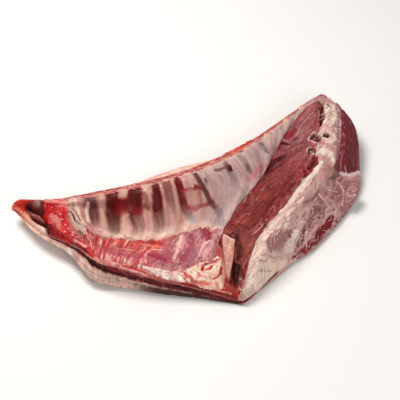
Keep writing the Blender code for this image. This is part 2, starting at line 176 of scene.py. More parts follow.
def fat_height(across, low, top):
    """Height where the outer fat meets the meat."""
    near = ease(1.0 - across)
    thickness = FAT_THICKNESS + near * np.maximum((top - low) * FAT_FACE_SHARE - FAT_THICKNESS, 0.0)
    return low + np.minimum(thickness, FAT_MOST_SHARE * (top - low))


# ------------------------------------------------------------------ grain, paths and paint


def lattice(x, y, seed):
    """A random number between -1 and 1 for each whole place."""
    mixed = (x * 374761393 + y * 668265263 + seed * 144269504) & 0xFFFFFFFF
    mixed = ((mixed ^ (mixed >> 13)) * 1274126177) & 0xFFFFFFFF
    return ((mixed ^ (mixed >> 16)) & 0xFFFF) / 32767.5 - 1.0


def grain(x, y, size, seed, octaves=3):
    """Smooth random grain between -1 and 1, with lumps of the given size."""
    total, weight = 0.0, 0.0
    for octave in range(octaves):
        turn = 0.6 + 0.9 * octave + seed
        c, s = math.cos(turn), math.sin(turn)
        u = (x * c - y * s) / size * 2**octave + 31.7 * octave
        v = (x * s + y * c) / size * 2**octave - 17.3 * octave
        i, j = np.floor(u).astype(np.int64), np.floor(v).astype(np.int64)
        over, up = ease(u - i), ease(v - j)
        near = lattice(i, j, seed + octave) * (1 - over) + lattice(i + 1, j, seed + octave) * over
        far = lattice(i, j + 1, seed + octave) * (1 - over) + lattice(i + 1, j + 1, seed + octave) * over
        total = total + (near * (1 - up) + far * up) * 0.55**octave
        weight += 0.55**octave
    return total / weight


def tone(code):
    """An sRGB hex colour as three shares."""
    return np.array([int(code[i : i + 2], 16) for i in (0, 2, 4)]) / 255.0


def linear(colour):
    """sRGB shares as linear light."""
    colour = np.asarray(colour, float)
    return np.where(colour <= 0.04045, colour / 12.92, ((colour + 0.055) / 1.055) ** 2.4)


# A moist film deepens the tissue's tones by this power, and the gain keeps the pale ones as they are.
WET_DEPTH = 1.3
WET_GAIN = 1.05

# The split face is painted flat: mm for each rib pitch along it, and mm from its foot to its top.
RIB_PITCH = 26.0
SPLIT_HEIGHT = 24.0


class Meat:
    """Colour, relief and wetness, built up layer by layer at many places.

    x and y are the places in plan, in mm, where strokes lie. u and v are where the grain is read: they run
    on down a steep wall, so that the grain isn't drawn out there.
    """

    def __init__(self, along, across, base):
        self.along, self.across = along, across
        plan = skin(along, across)
        self.x, self.y = plan[:, 0], plan[:, 1]
        self.u, self.v = self.x, self.y
        self.colour = np.tile(tone(base), (len(along), 1))
        self.rise = np.zeros(len(along))
        self.wet = np.full(len(along), 0.5)
        self.face = None

    def lay(self, code, share):
        """Covers the colours so far with a new one, by a share at each place."""
        self.colour += (tone(code) - self.colour) * np.clip(share, 0.0, 1.0)[:, None]

    def band(self, low, high, soft, of=None):
        """1 where `of` (normally along) lies between two values."""
        of = self.along if of is None else of
        return ease((of - low) / soft + 0.5) * ease((high - of) / soft + 0.5)

    def strip(self, low, high, soft):
        """1 where across lies between two values."""
        return self.band(low, high, soft, self.across)

    def patch(self, along, across, soft=0.3):
        """1 inside a rectangle of places."""
        return self.band(*along, soft) * self.strip(*across, soft)

    def grain(self, size, seed, octaves=3):
        """Random grain between -1 and 1 at every place."""
        return grain(self.u, self.v, size, seed, octaves)

    def blots(self, size, seed, gain, shift=0.0):
        """Soft blots between 0 and 1: a higher gain sharpens them and a higher shift spreads them."""
        return ease(self.grain(size, seed) * gain + shift)

    def fibres(self, turn, length, width, seed, octaves=2):
        """Grain drawn out along a direction, `turn` degrees from +X."""
        c, s = math.cos(math.radians(turn)), math.sin(math.radians(turn))
        forth = (self.u * c + self.v * s) / length
        aside = (self.v * c - self.u * s) / width
        return grain(forth, aside, 1.0, seed, octaves)

    def threads(self, turn, length, width, seed, thin=0.14):
        """1 on thin wandering threads that run along a direction."""
        return ridge(self.fibres(turn, length, width, seed), thin)

    def speckle(self, amount=1.0):
        """The fine unevenness of raw tissue over all the colours laid so far."""
        uneven = 0.10 * self.grain(2.6, 151, 2) + 0.07 * self.grain(6.0, 153, 2)
        self.colour *= (1 + amount * uneven)[:, None]

    def flecks(self, size, seed, amount=0.5):
        """1 on scattered specks: the larger the amount, the more of them."""
        return ease(self.grain(size, seed, 2) * 4.0 - 2.6 + 2.4 * amount)

    def trace(self, path, reach=25.0):
        """Distance in mm from a smooth path of places, and the share of the path passed there."""
        path = np.array(path, float)
        if len(path) > 2:
            path = spline(np.linspace(0, 1, len(path)), path, np.linspace(0, 1, 8 * len(path)))
        line = skin(path[:, 0], path[:, 1])[:, :2] if self.face is None else path * self.face
        apart = np.full(len(self.x), 1e3)
        passed = np.zeros(len(self.x))
        low, high = line.min(axis=0) - reach, line.max(axis=0) + reach
        inside = (self.x > low[0]) & (self.x < high[0]) & (self.y > low[1]) & (self.y < high[1])
        x, y = self.x[inside], self.y[inside]
        best, share = np.full(len(x), 1e3), np.zeros(len(x))
        for k, (a, b) in enumerate(zip(line[:-1], line[1:])):
            way = b - a
            t = np.clip(((x - a[0]) * way[0] + (y - a[1]) * way[1]) / max(way.dot(way), 1e-9), 0, 1)
            away = np.hypot(x - a[0] - t * way[0], y - a[1] - t * way[1])
            closer = away < best
            best[closer] = away[closer]
            share[closer] = ((k + t) / (len(line) - 1))[closer]
        apart[inside] = best
        passed[inside] = share
        return apart, passed

    def stroke(self, path, widths, soft=0.5, ragged=0.0, seed=7):
        """1 on a stroke along a path: its widths in mm run evenly from its start to its end."""
        apart, passed = self.trace(path, 0.5 * max(widths) * (1 + soft + ragged) + 1)
        half = 0.5 * evenly(widths, passed)
        if ragged:
            half = half * (1 + ragged * self.grain(2.5 + 0.25 * max(widths), seed))
        return ease((half * (1 + soft) - apart) / (half * 2 * soft + 1e-6)) * (half > 0)

    def strokes(self, rows, within=1.0):
        """Strokes from a table: colour, strength, rise in mm, widths, softness, raggedness and path."""
        for k, (code, strength, rise, widths, soft, ragged, path) in enumerate(rows):
            share = self.stroke(path, widths, soft, ragged, 500 + 7 * k + len(path)) * within
            self.lay(code, share * strength)
            self.rise += share * rise


# ------------------------------------------------------------------ the inner side's relief and colours


def rib_relief(meat):
    """Rise over each rib and dip between two, fading at the trough, the rim and under the diaphragm."""
    alongs, acrosses = zip(*FREE_BORDER)
    border = np.interp(meat.across, acrosses, alongs)
    window = ease((meat.across - 2.2) / 0.8) * ease((5.15 - meat.across) / 0.45)
    window *= ease((meat.along - 0.3) / 0.7) * ease((border + 1.0 - meat.along) / 0.7)
    wave = np.cos(2 * math.pi * meat.along)
    return 0.9 * (wave - 0.25 * np.cos(4 * math.pi * meat.along)) * window


# Gaps between the ribs, where dark flesh shows through the lining: path, widths in mm, and the colour at
# the top, middle and foot with how strongly each shows.
GAPS = (
    (((1.5, 5.3), (1.5, 3.8), (1.5, 3.2), (1.6, 2.75)), (13, 14, 13, 9), ("6f4644", "7b4b47", "a58078"),
     (0.95, 0.9, 0.4)),
    (((2.5, 5.35), (2.5, 4.15), (2.5, 3.5), (2.5, 2.75)), (13, 15, 15, 9), ("6a0808", "601f1b", "7c675a"),
     (1.0, 0.95, 0.75)),
    (((3.5, 5.35), (3.5, 4.25), (3.5, 3.6), (3.6, 2.85)), (14, 14, 13, 9), ("700707", "653029", "87665c"),
     (1.0, 0.9, 0.7)),
    (((4.45, 5.35), (4.5, 4.4), (4.5, 3.8), (4.5, 3.05)), (8, 11, 13, 9), ("70090a", "683029", "8d6f64"),
     (0.95, 0.95, 0.7)),
    (((4.95, 5.1), (5, 4.4), (5.1, 3.75), (5.1, 3.25)), (11, 9, 7, 5), ("7f4841", "93625a", "b48c80"),
     (0.8, 0.65, 0.3)),
    (((5.45, 5.35), (5.5, 4.4), (5.6, 3.7), (6, 3.05)), (8, 9, 9, 9), ("6e0708", "6b2c29", "a79ea8"),
     (1.0, 0.95, 0.75)),
    (((6.3, 5.3), (6.4, 4.3), (6.7, 3.6), (7.8, 2.8)), (6, 6, 7, 8), ("6b4540", "6a3833", "a39aa4"),
     (0.85, 0.95, 0.75)),
    (((7.8, 4.95), (7.7, 4.45), (7.8, 3.9), (8.4, 3.5)), (6, 7, 8, 6), ("7a5450", "a08c8a", "b09c9a"),
     (0.75, 0.65, 0.4)),
    (((8.5, 5.2), (8.6, 4.65), (8.6, 4.3), (8.9, 3.95)), (6, 7, 7, 5), ("8f7673", "967c7a", "a88f8c"),
     (0.65, 0.6, 0.35)),
    (((9.7, 6.25), (9.6, 5), (9.8, 4.6), (10.2, 4.3)), (6, 7, 7, 5), ("9b8683", "86767a", "928286"),
     (0.5, 0.6, 0.4)),
    (((10.5, 6.1), (10.7, 4.95), (11, 4.65)), (5, 6, 5), ("937f80", "9c8c8e", "a8969a"), (0.5, 0.5, 0.3)),
    (((11.5, 6.5), (11.9, 4.85), (12.4, 4.7)), (4, 4, 3), ("a89698", "a89698", "a89698"), (0.4, 0.4, 0.3)),
)

# Strokes of blood and dark flesh over the gaps. A stroke is its colour, strength, rise in mm, widths in mm,
# softness, raggedness and path.
BLOOD = (
    ("6d0303", 0.95, 0, (13, 13, 9), 0.3, 0.5, ((2.5, 4.95), (2.5, 4.5), (2.5, 4.15))),
    ("6d0303", 0.95, 0, (15, 16, 12), 0.3, 0.5, ((3.5, 4.95), (3.5, 4.55), (3.4, 4.25))),
    ("7b0d0c", 0.9, 0, (7, 6, 8), 0.5, 0.8, ((2.8, 4.45), (3, 4.3), (3.2, 4.45))),
    ("8f2b27", 0.8, 0, (10, 9, 8, 7), 0.7, 0.5, ((2.8, 4.1), (3.1, 4.1), (3.5, 4.1), (3.7, 4.05))),
    ("6d0303", 0.95, 0, (5, 7, 9, 7), 0.4, 0.5, ((4.5, 4.95), (4.5, 4.6), (4.5, 4.25), (4.4, 4.1))),
    ("7a0c0c", 0.9, 0, (5, 6, 8, 5), 0.5, 0.6, ((5.5, 4.9), (5.5, 4.6), (5.5, 4.35), (5.5, 4.15))),
    ("8c1214", 0.8, 0, (4, 3, 2), 0.5, 0.6, ((5.4, 4.7), (5.6, 4.5), (5.9, 4.45))),
    ("9a6058", 0.7, 0, (7, 8, 6), 0.6, 0.8, ((3.9, 4.6), (4, 4.4), (4.1, 4.15))),
    ("8a443c", 0.6, 0, (4, 5), 0.6, 0.8, ((3.9, 4.25), (4.1, 4.15))),
    ("a34844", 0.7, 0, (3, 4, 3), 0.7, 0.6, ((5.6, 4.5), (5.9, 4.4), (6.2, 4.45))),
    ("9b3f3b", 0.7, 0, (4, 6, 5, 3), 0.8, 0.7, ((5.6, 3.85), (5.9, 3.7), (6.1, 3.7), (6.5, 3.7))),
    ("a8625b", 0.6, 0, (5, 4), 0.8, 0.6, ((6.2, 4.4), (6.2, 3.85))),
    ("c2958b", 0.7, 0, (12, 14, 11), 0.5, 0.5, ((5.8, 4.3), (5.9, 4.05), (5.9, 3.9))),
    ("8c2f2b", 0.8, 0, (4, 3), 0.7, 0.7, ((6.1, 4.45), (6.3, 4.35))),
    ("4a100f", 1.0, -0.3, (5, 6, 4), 0.5, 0.5, ((7.8, 4.75), (7.8, 4.65), (7.8, 4.6))),
    ("7f5350", 0.7, 0, (4, 4, 3), 0.8, 0.6, ((7.2, 4.85), (7.4, 4.8), (7.8, 4.8))),
    ("6e4642", 0.7, 0, (3, 3), 0.8, 0.6, ((6.6, 4.65), (6.6, 4.55))),
    ("6e3330", 0.8, 0, (5, 5), 0.7, 0.5, ((6.6, 3.75), (6.8, 3.5))),
    ("6a3e3e", 0.55, 0, (3, 4, 2), 0.9, 0.8, ((8.6, 4.5), (8.6, 4.35), (8.6, 4.2))),
    ("6b5860", 0.6, 0, (2, 4, 2), 0.9, 0.8, ((9.6, 5.0), (9.65, 4.9), (9.7, 4.8))),
    ("6b5860", 0.5, 0, (2, 3.4, 2), 0.9, 0.8, ((9.75, 4.65), (9.8, 4.55), (9.9, 4.45))),
    ("c4787a", 0.6, 0, (8, 7, 6), 0.8, 0.6, ((8.5, 4), (9.1, 4.1), (9.7, 4.15))),
    ("5e4a44", 0.9, -0.4, (2.4, 2.0), 0.5, 0.3, ((3.1, 2.6), (3.3, 2.65))),
)

# The cream margin where the ribs run out into cartilage.
MARGIN = ((0.85, 3.0), (1.2, 2.75), (2.3, 2.65), (3.2, 2.7), (4.1, 2.75), (5.0, 2.85), (5.6, 3.0),
          (6.4, 2.9), (7.6, 2.65), (9.2, 2.4))


def paint_wall(meat):
    """The rib cage's lining: pink-beige over the bones, dark flesh shining through between them."""
    here = meat.band(0.75, 13.6, 0.5)
    meat.lay("cca196", here)
    meat.lay("c08e86", here * 0.7 * meat.band(0.8, 4.6, 1.5) * meat.blots(16, 3, 1.5, 0.5))
    meat.lay("c5adaa", here * meat.band(6.4, 13.5, 1.6) * 0.9)
    meat.lay("d8bcb0", here * meat.blots(9, 5, 1) * 0.45)
    bone = ease(np.cos(2 * math.pi * meat.along) * 1.2 - 0.35)
    meat.lay("d9bbb0", here * bone * 0.45)
    streaks = grain(meat.along * 9.0, meat.across * 0.8, 1.0, 11)
    wide = grain(meat.along * 3.6, meat.across * 0.6, 1.0, 13)
    meat.lay("a9766e", here * ease(streaks * 1.6 - 0.2) * 0.4)
    meat.lay("e2cac0", here * ease(-streaks * 1.6 - 0.3) * 0.4)
    meat.lay("ad7b73", here * ease(wide * 2.0 - 0.1) * 0.55 * meat.band(0.8, 7.0, 1.5))
    meat.lay("b09894", here * ease(wide * 2.0) * 0.6 * meat.band(6.6, 13.5, 1.0))
    for path, widths, tones, depths in GAPS:
        apart, passed = meat.trace(path)
        half = 0.5 * evenly(widths, passed)
        half = half * (1 + 0.25 * meat.grain(7, 21) + 0.15 * streaks)
        softness = 0.28 + 0.3 * passed
        share = ease((half * (1 + softness) - apart) / (half * 2 * softness))
        share *= np.interp(passed, (0.0, 0.5, 1.0), depths) * np.clip(0.9 + 0.4 * streaks, 0, 1)
        shades = np.array([tone(code) for code in tones])
        shade = np.stack([np.interp(passed, (0.1, 0.5, 0.9), shades[:, k]) for k in range(3)], -1)
        meat.colour += (shade - meat.colour) * np.clip(share, 0, 1)[:, None]
        meat.rise -= share * 0.5
    meat.strokes(BLOOD)
    # translucent cream margin where the ribs run out into cartilage
    apart, passed = meat.trace(MARGIN)
    above = np.interp(meat.along, *zip(*MARGIN))
    veil = ease(1 - apart / (10.0 + 5.0 * meat.grain(10, 9))) * (meat.across > above - 0.3)
    meat.lay("e3cabd", veil * (0.8 - 0.3 * meat.grain(6, 8)))
    meat.lay("d69b8e", ease(1 - apart / 5.0) * 0.6 * meat.blots(6, 12, 1, 0.4))
    # the floor of the trough, mostly under muscle and fat
    floor = here * ease((above - 0.1 - meat.across) / 0.3)
    meat.lay("b8605e", floor * meat.band(0.6, 13, 0.4))
    meat.lay("e6cbbd", floor * meat.band(6.0, 10.5, 1.0) * meat.strip(-1, 1.7, 0.5) * 0.7)
    meat.lay("d9a79a", floor * meat.band(0.6, 2.6, 0.5) * meat.blots(5, 14, 2, 0.2) * 0.7)
    meat.strokes(FURROW)


# The furrow between the diaphragm's near end and the belly fat.
FURROW = (
    ("6a2420", 0.95, -2.0, (10, 14, 14, 10, 7), 0.4, 0.5,
     ((9.9, 2.3), (11.1, 2), (11.8, 1.65), (11.9, 1.3), (12.3, 0.75))),
    # painted shade in the bottom of the furrow
    ("3c0f0d", 0.9, -1.6, (2, 5, 7, 6, 3), 0.5, 0.5,
     ((10.5, 2.15), (11.2, 1.85), (11.4, 1.6), (11.4, 1.35), (11.8, 1.05))),
    ("8f3a36", 0.8, 0.6, (3, 4, 2), 0.5, 0.6, ((11.4, 2), (12, 1.75), (12.3, 1.45))),
    ("d9a9a0", 0.8, 0.8, (1.4, 1.8, 1.0), 0.6, 0.4, ((10.9, 2), (11.6, 1.8), (12.4, 1.55))),
    ("8d2421", 0.9, 0.0, (10, 12, 9), 0.4, 0.5, ((10.7, 1.1), (11.2, 0.9), (12.2, 0.45))),
    ("c4342f", 0.8, 0.6, (2, 3, 2.4, 1), 0.5, 0.5, ((10.5, 1.15), (11, 0.95), (11.7, 0.65), (12.5, 0.35))),
    ("4c100f", 0.8, -0.6, (3, 4, 3), 0.5, 0.5, ((11, 1.2), (11.6, 1.05), (12.6, 0.6))),
)


def paint_cage_edge(meat):
    """The torn edge of the lining under the sawn rim."""
    here = meat.band(0.3, 13.2, 0.6)
    edge = 5.2 + 0.13 * grain(meat.along * 5.0, meat.along * 0, 1.0, 17)
    torn = ease((meat.across - edge) / 0.12 + 0.5)
    meat.lay("c4766f", here * torn * meat.band(0.3, 7.5, 1.5))
    meat.lay("c99a92", here * torn * meat.band(7.5, 13.2, 1.5))
    meat.lay("8f3a40", here * torn * meat.blots(4, 18, 2.4, -0.5) * 0.7)
    pale = ridge(meat.across - edge, 0.14) * meat.blots(4, 19, 2.0, 0.6)
    meat.lay("f2cfc4", here * pale * 0.9)
    meat.rise += here * (pale * 0.9 - torn * 0.3)


def paint_rim(meat):
    """The sawn face: lean line, bone and pale fat, with the outer fat bulging beyond."""
    face = meat.strip(5.5, 9, 0.1)
    meat.lay("cc8a82", face)
    meat.lay("e3b0a4", face * meat.blots(4, 22, 2.2) * 0.8)
    line = 5.75 + 0.12 * grain(meat.along * 2.3, meat.along * 0, 1.0, 23)
    lean = ridge(meat.across - line, 0.2)
    meat.lay("8d3a44", face * lean * 0.9 * meat.blots(5, 29, 1.6, 0.6))
    second = ridge(meat.across - line + 0.34, 0.12)
    second *= meat.blots(7, 30, 2, 0.3)
    meat.lay("a04e54", second * meat.band(0.5, 12, 1.0) * 0.8)
    meat.rise -= (lean * face + second) * 0.7
    outer = meat.strip(6.02, 9, 0.1)
    meat.lay("edb9a4", outer * 0.95)
    meat.lay("f4d8ca", outer * meat.blots(12, 31, 2, 0.2) * 0.8)
    meat.lay("dc9a86", outer * meat.blots(7, 33, 2, -0.2) * 0.6)
    meat.lay("b8636a", meat.strip(5.9, 6.12, 0.1) * meat.blots(6, 35, 2) * 0.7)
    meat.rise += outer * meat.grain(7, 37) * 0.8
    below = ease((meat.across - 6.5) / 0.5)
    meat.lay("ddbfb3", below * 0.7)
    meat.lay("b4645f", below * ridge(meat.grain(22, 38), 0.06) * 0.5)
    patch = ((8.1, 6.25), (8.4, 6.15), (8.8, 6.15), (9.1, 6.2), (9.3, 6.3))
    raw = meat.stroke(patch, (5, 11, 12, 9, 4), 0.5, 0.6, 6)
    meat.lay("d9503a", raw * 0.9 * meat.blots(5, 40, 1.5, 0.7))
    meat.lay("ee9474", raw * meat.blots(3.2, 41, 4, -0.8) * 0.9)
    meat.lay("a82a26", raw * meat.blots(4, 42, 4, -1.2) * 0.7)
    meat.rise += raw * 1.3 * (1 + meat.grain(3, 43))
    ragged = meat.across + 0.5 * meat.grain(7, 46)
    corner = ease((meat.along - 18.2) / 0.14) * meat.band(5.3, 9, 0.35, ragged)
    meat.lay("cba297", corner * 0.85)
    meat.lay("e8cabc", corner * meat.blots(8, 44, 2) * 0.75)
    meat.lay("a86a66", corner * meat.blots(5, 45, 2, -0.4) * 0.6)


def paint_neck(meat):
    """The neck's tip, its gutter of dark flesh with painted shade deep in it, and the flat brown cut beside
    it.
    """
    here = meat.band(-9, -0.55, 0.25)
    meat.lay("a94c45", here)
    meat.lay("7f3330", here * meat.band(-1.8, -0.5, 0.4) * meat.blots(6, 45, 2, 0.3))
    tip = meat.band(-9, -1.45, 0.45)
    meat.lay("cb4038", tip)
    meat.lay("e8795a", tip * meat.blots(6, 47, 2.2, 0.1) * 0.85)
    meat.lay("a81f24", tip * meat.blots(4, 49, 2.2, -0.1) * 0.8)
    meat.lay("f0b09a", tip * meat.flecks(2.6, 50, 0.42) * 0.7)
    facet = meat.patch((-1.62, -0.72), (2.3, 6.2), 0.3)
    meat.lay("80484a", facet * 0.92)
    meat.lay("5f2f30", facet * ease(meat.fibres(-58, 9, 2.2, 51) * 2.4 - 0.2) * 0.6)
    meat.lay("c9a09a", facet * meat.threads(-60, 7, 2.2, 52, 0.2) * 0.75)
    meat.strokes((
        ("c7a39c", 0.8, 0.4, (5, 6, 4), 0.6, 0.5, ((-1.3, 3.55), (-1.2, 3.95), (-1, 4.3))),
        ("6b3436", 0.85, -0.3, (3, 4, 3), 0.6, 0.3, ((-1.1, 6.95), (-0.9, 3.3), (-0.8, 2.4))),
        ("b03a3a", 0.7, 0.2, (3, 3), 0.7, 0.4, ((-1.6, 4.65), (-1.1, 6.2))),
        ("6a2420", 0.9, -3.0, (3, 9, 13, 14, 12, 9, 6, 4), 0.5, 0.3,
         ((-1.7, 3.05), (-1.5, 2.25), (-1.2, 1.9), (-1, 1.5), (-0.7, 1.2), (-0.4, 0.75), (-0.2, 0.25),
          (0.2, 0))),
        # painted shade deep in the gutter
        ("220302", 0.95, -2.0, (1.5, 4, 5, 5, 4, 3, 2), 0.5, 0.4,
         ((-1.7, 3.1), (-1.4, 2.25), (-1.1, 1.9), (-0.8, 1.5), (-0.5, 1.15), (-0.3, 0.6), (0.1, 0.15))),
        ("7d3a35", 0.9, 1.2, (5, 7, 7, 5), 0.5, 0.5, ((-1.5, 0.75), (-1.1, 1.05), (-0.8, 0.35), (-0.4, 0))),
        ("4a1614", 0.8, -0.5, (3, 4, 3), 0.6, 0.6, ((-1.3, 1.3), (-0.9, 1.1), (-0.6, 0.4))),
        ("a5544e", 0.8, 0.8, (2, 3, 3, 2), 0.6, 0.7, ((-1.6, 0.55), (-1.2, 0.3), (-0.9, 0), (-0.5, 0))),
        ("eab98a", 0.9, 0.5, (4, 5, 4), 0.5, 0.4, ((-1.7, 1.5), (-1.6, 1.05), (-1.5, 0.75))),
    ))
    meat.lay("cc4c40", meat.band(-9, -1.75, 0.35) * (0.55 + 0.3 * meat.grain(4, 53)))


def paint_marrow(meat):
    """The split front breastbone: spongy bone full of blood."""
    middle = ((-0.5, 5.95), (-0.4, 4.1), (-0.4, 3.05), (-0.4, 2.1), (-0.3, 1.35), (-0.1, 0.85))
    bone = meat.stroke(middle, (14, 20, 24, 22, 16, 11), 0.2, 0.35, 9)
    meat.lay("c4141f", bone)
    meat.lay("e8373c", bone * meat.blots(5, 61, 2.2, 0.1) * 0.85)
    meat.lay("7e0a10", bone * meat.blots(3.4, 63, 2.4, -0.5) * 0.9)
    cells = np.abs(meat.grain(2.8, 65, 2))
    meat.lay("f4a39c", bone * ease(1 - cells / 0.16) * meat.blots(8, 67, 2, 0.4) * 0.85)
    meat.lay("fbe0d8", bone * meat.flecks(2.2, 69, 0.4) * 0.8)
    meat.rise += bone * (meat.grain(2.8, 71) * 1.3 + meat.grain(7, 73) * 0.9 + 0.5)
    meat.strokes((
        ("e8a89c", 0.85, 0.4, (4, 6, 6, 5), 0.6, 0.6, ((-0.8, 5), (-0.3, 5.25), (0.1, 4.75), (0.4, 4.55))),
        ("d7918c", 0.9, 0.6, (5, 8, 8, 5), 0.5, 0.5,
         ((-0.6, 2.65), (-0.5, 2.3), (-0.4, 1.95), (-0.4, 1.35))),
        ("b9655f", 0.7, 0, (3, 4, 3), 0.6, 0.6, ((-0.7, 2.1), (-0.6, 1.5), (-0.5, 1.1))),
        ("6c1016", 0.8, -0.6, (3, 5, 4), 0.6, 0.7, ((-0.8, 1.65), (-0.6, 1.15), (-0.4, 0.55))),
        ("9a1f22", 0.8, 0, (8, 9, 8, 6), 0.5, 0.5, ((-0.6, 1), (-0.4, 0.4), (-0.1, 0), (0.1, 0))),
        ("c43a3c", 0.9, 0.4, (8, 10, 11, 10, 7), 0.45, 0.5,
         ((-0.1, 0.7), (0.1, 0.4), (0.5, 0.2), (1.1, 0.3), (1.9, 0.55))),
        ("eec7bb", 0.85, 0.5, (5, 6, 5), 0.6, 0.7, ((0.3, 0.5), (0.5, 0.35), (0.9, 0.45))),
        ("7d1014", 0.85, -0.4, (3, 4, 3), 0.6, 0.7, ((0.1, 0), (0.6, 0), (1.2, 0))),
        ("b5383c", 0.9, 0.3, (6, 10, 11, 8), 0.4, 0.5, ((1.1, 2.3), (1.3, 2.05), (1.5, 1.6), (1.9, 1.25))),
        ("8f1c20", 0.8, 0, (3, 4, 3), 0.6, 0.7, ((0.9, 1.8), (1.3, 1.5), (1.7, 1))),
        ("e6b8ac", 0.85, 0.3, (4, 4), 0.6, 0.6, ((1.7, 2.25), (2, 1.15))),
    ))
    low = meat.patch((0.0, 1.9), (0.5, 1.6), 0.4)
    meat.lay("f0b6aa", low * meat.flecks(2.8, 77, 0.55) * 0.8)
    meat.lay("86141a", low * meat.flecks(2.6, 79, 0.55) * 0.8)
    meat.rise += low * meat.grain(2.8, 81) * 1.0


def paint_fold(meat):
    """Cream fold of lining between the breastbone and the first rib, with a slit darkened by painted shade.
    """
    middle = ((0.9, 5.25), (0.7, 4.35), (0.6, 3.4), (0.6, 2.5), (0.9, 1.95))
    fold = meat.stroke(middle, (13, 15, 15, 13, 8), 0.35, 0.25, 3)
    meat.lay("d9c2b6", fold * 0.95)
    meat.lay("b98c82", fold * ease(meat.fibres(-62, 14, 2.4, 83) * 2 - 0.2) * 0.6)
    meat.lay("efe0d4", fold * ease(meat.fibres(-62, 18, 2.4, 85) * 2 - 0.1) * 0.7)
    meat.rise += fold * (1.4 + 0.6 * meat.fibres(-62, 14, 2.4, 87))
    meat.strokes((
        ("d08f88", 0.85, 0.5, (2.4, 3, 3, 2.4), 0.5, 0.4,
         ((1, 5.1), (0.9, 4.1), (0.9, 3.1), (1.4, 2.7), (1.9, 2.7))),
        ("b98f86", 0.7, -0.2, (2, 3, 2), 0.6, 0.4, ((0.6, 4.35), (0.6, 3.45), (0.8, 2.9))),
        # painted shade in the slit
        ("3a2420", 1.0, -1.6, (1.0, 2.2, 2.0, 1.0), 0.35, 0.2,
         ((0.3, 3.6), (0.4, 3.15), (0.4, 2.7), (0.6, 2.5))),
        ("8f6f66", 0.9, -0.4, (0.8, 1.6, 0.8), 0.5, 0.2, ((0.5, 3.9), (0.6, 3.4), (0.7, 2.9))),
        ("77615a", 0.8, -0.3, (3, 4, 3), 0.5, 0.5, ((0.5, 1.9), (0.6, 1.8), (0.7, 1.8))),
        ("f4ded2", 0.8, 0.4, (3, 4, 3), 0.6, 0.4, ((1.4, 4.6), (1.2, 3.8), (1.2, 3.1))),
    ))


def paint_breastbone(meat):
    """Upper edge of the split breastbone, before the fat pads are laid on it."""
    strip = meat.band(0.2, 13.5, 0.3) * ease((1.25 - meat.across) / 0.4)
    meat.lay("d48d86", strip * meat.band(1.2, 14, 0.6))
    meat.lay("efc9bf", strip * meat.blots(5, 91, 2.0, 0.1) * 0.75 * meat.band(1.4, 8, 1))
    meat.lay("b5434a", strip * meat.blots(4, 92, 2.2, -0.5) * 0.8 * meat.band(1.4, 8, 1))
    meat.lay("a53c38", strip * meat.band(9.0, 13.2, 1.0) * 0.75)
    meat.lay("d09186", strip * meat.band(8.4, 13.2, 1.0) * meat.flecks(3.4, 93, 0.5) * 0.8)
    meat.rise += strip * meat.grain(3.2, 95) * 0.8
    meat.strokes((
        ("c02f38", 0.95, -0.4, (1.6, 3.2, 3.0, 1.6), 0.5, 0.5,
         ((3.8, 0.2), (4.5, 0.2), (5, 0.15), (5.6, 0))),
        ("efc4bc", 0.9, 0.6, (2.0, 3.0, 2.4), 0.5, 0.5, ((3.6, 0), (4.4, 0), (5.3, 0))),
        ("dfa39c", 0.9, 0.4, (2.4, 3.0, 2.0), 0.5, 0.5, ((5.4, 0), (6.3, 0), (7.2, 0))),
        ("c23a3c", 0.9, -0.3, (1.5, 2.4, 2.0), 0.5, 0.6, ((7.6, 0.25), (8.4, 0.05), (9.4, 0))),
        ("eec0b0", 0.8, 0.5, (1.5, 2.4, 1.5), 0.5, 0.6, ((7.8, 0), (8.8, 0), (10, 0))),
        ("c01f20", 0.98, -0.3, (2.4, 4.0, 4.0, 3.0), 0.5, 0.5,
         ((8.9, 0.1), (9.8, 0.1), (11.1, 0.15), (12.3, 0.15))),
        ("f0b8a8", 0.85, 0.4, (1.2, 2.0, 1.4), 0.5, 0.6, ((9.6, 0.25), (10.6, 0.3), (11.6, 0.3))),
        ("5c1210", 0.9, -0.4, (2.0, 3.0, 3.4, 2.0), 0.5, 0.5, ((7.3, 0), (8.7, 0), (10.6, 0), (13.1, 0))),
    ))
    edge = ease((0.25 - meat.across) / 0.2)
    meat.lay("e08f8c", strip * edge * 0.7 * meat.band(1.2, 5.5, 1.0) * meat.blots(4, 97, 2, 0.5))
    meat.lay("a84a48", strip * edge * 0.7 * meat.band(5.5, 13, 1.0))


# The fat that runs beside the diaphragm, from the flank's peak down to the near corner.
FAT_BAND = ((15.5, 5.2), (15.8, 4.75), (15.9, 4.45), (16.2, 4.15), (16.4, 3.8), (16.3, 3.5), (16.2, 3.2),
            (16, 2.85), (15.9, 2.45), (15.9, 1.95), (15.7, 1.45), (15, 1.25), (14.4, 1.1), (14.7, 0.55))

# Torn holes: the middle, and the mm out to the white ring and to the hole's edge.
HOLES = (((14.7, 4.2), 8.0, 6.0), ((15.7, 4.25), 6.0, 4.0), ((14.7, 3.95), 6.0, 4.0))


def paint_holes(meat):
    """Torn holes in the flank's root, ringed with white."""
    for centre, outer, inner in HOLES:
        apart, _ = meat.trace((centre, (centre[0] + 0.05, centre[1])))
        apart = apart * (1 + 0.35 * meat.grain(4, 129))
        ring = ridge(apart - outer, 1.8) * meat.blots(5, 128, 2, 0.7)
        hole = ease((inner + 1.0 - apart) / 2.0)
        meat.lay("74302c", hole)
        # painted shade in the holes' depths, over dark red flesh
        meat.lay("3a0d0c", hole * meat.blots(3, 131, 2.4) * 0.85)
        meat.lay("e8d2c8", ring * 0.9)
        meat.rise += ring * 1.4 - hole * 3.0


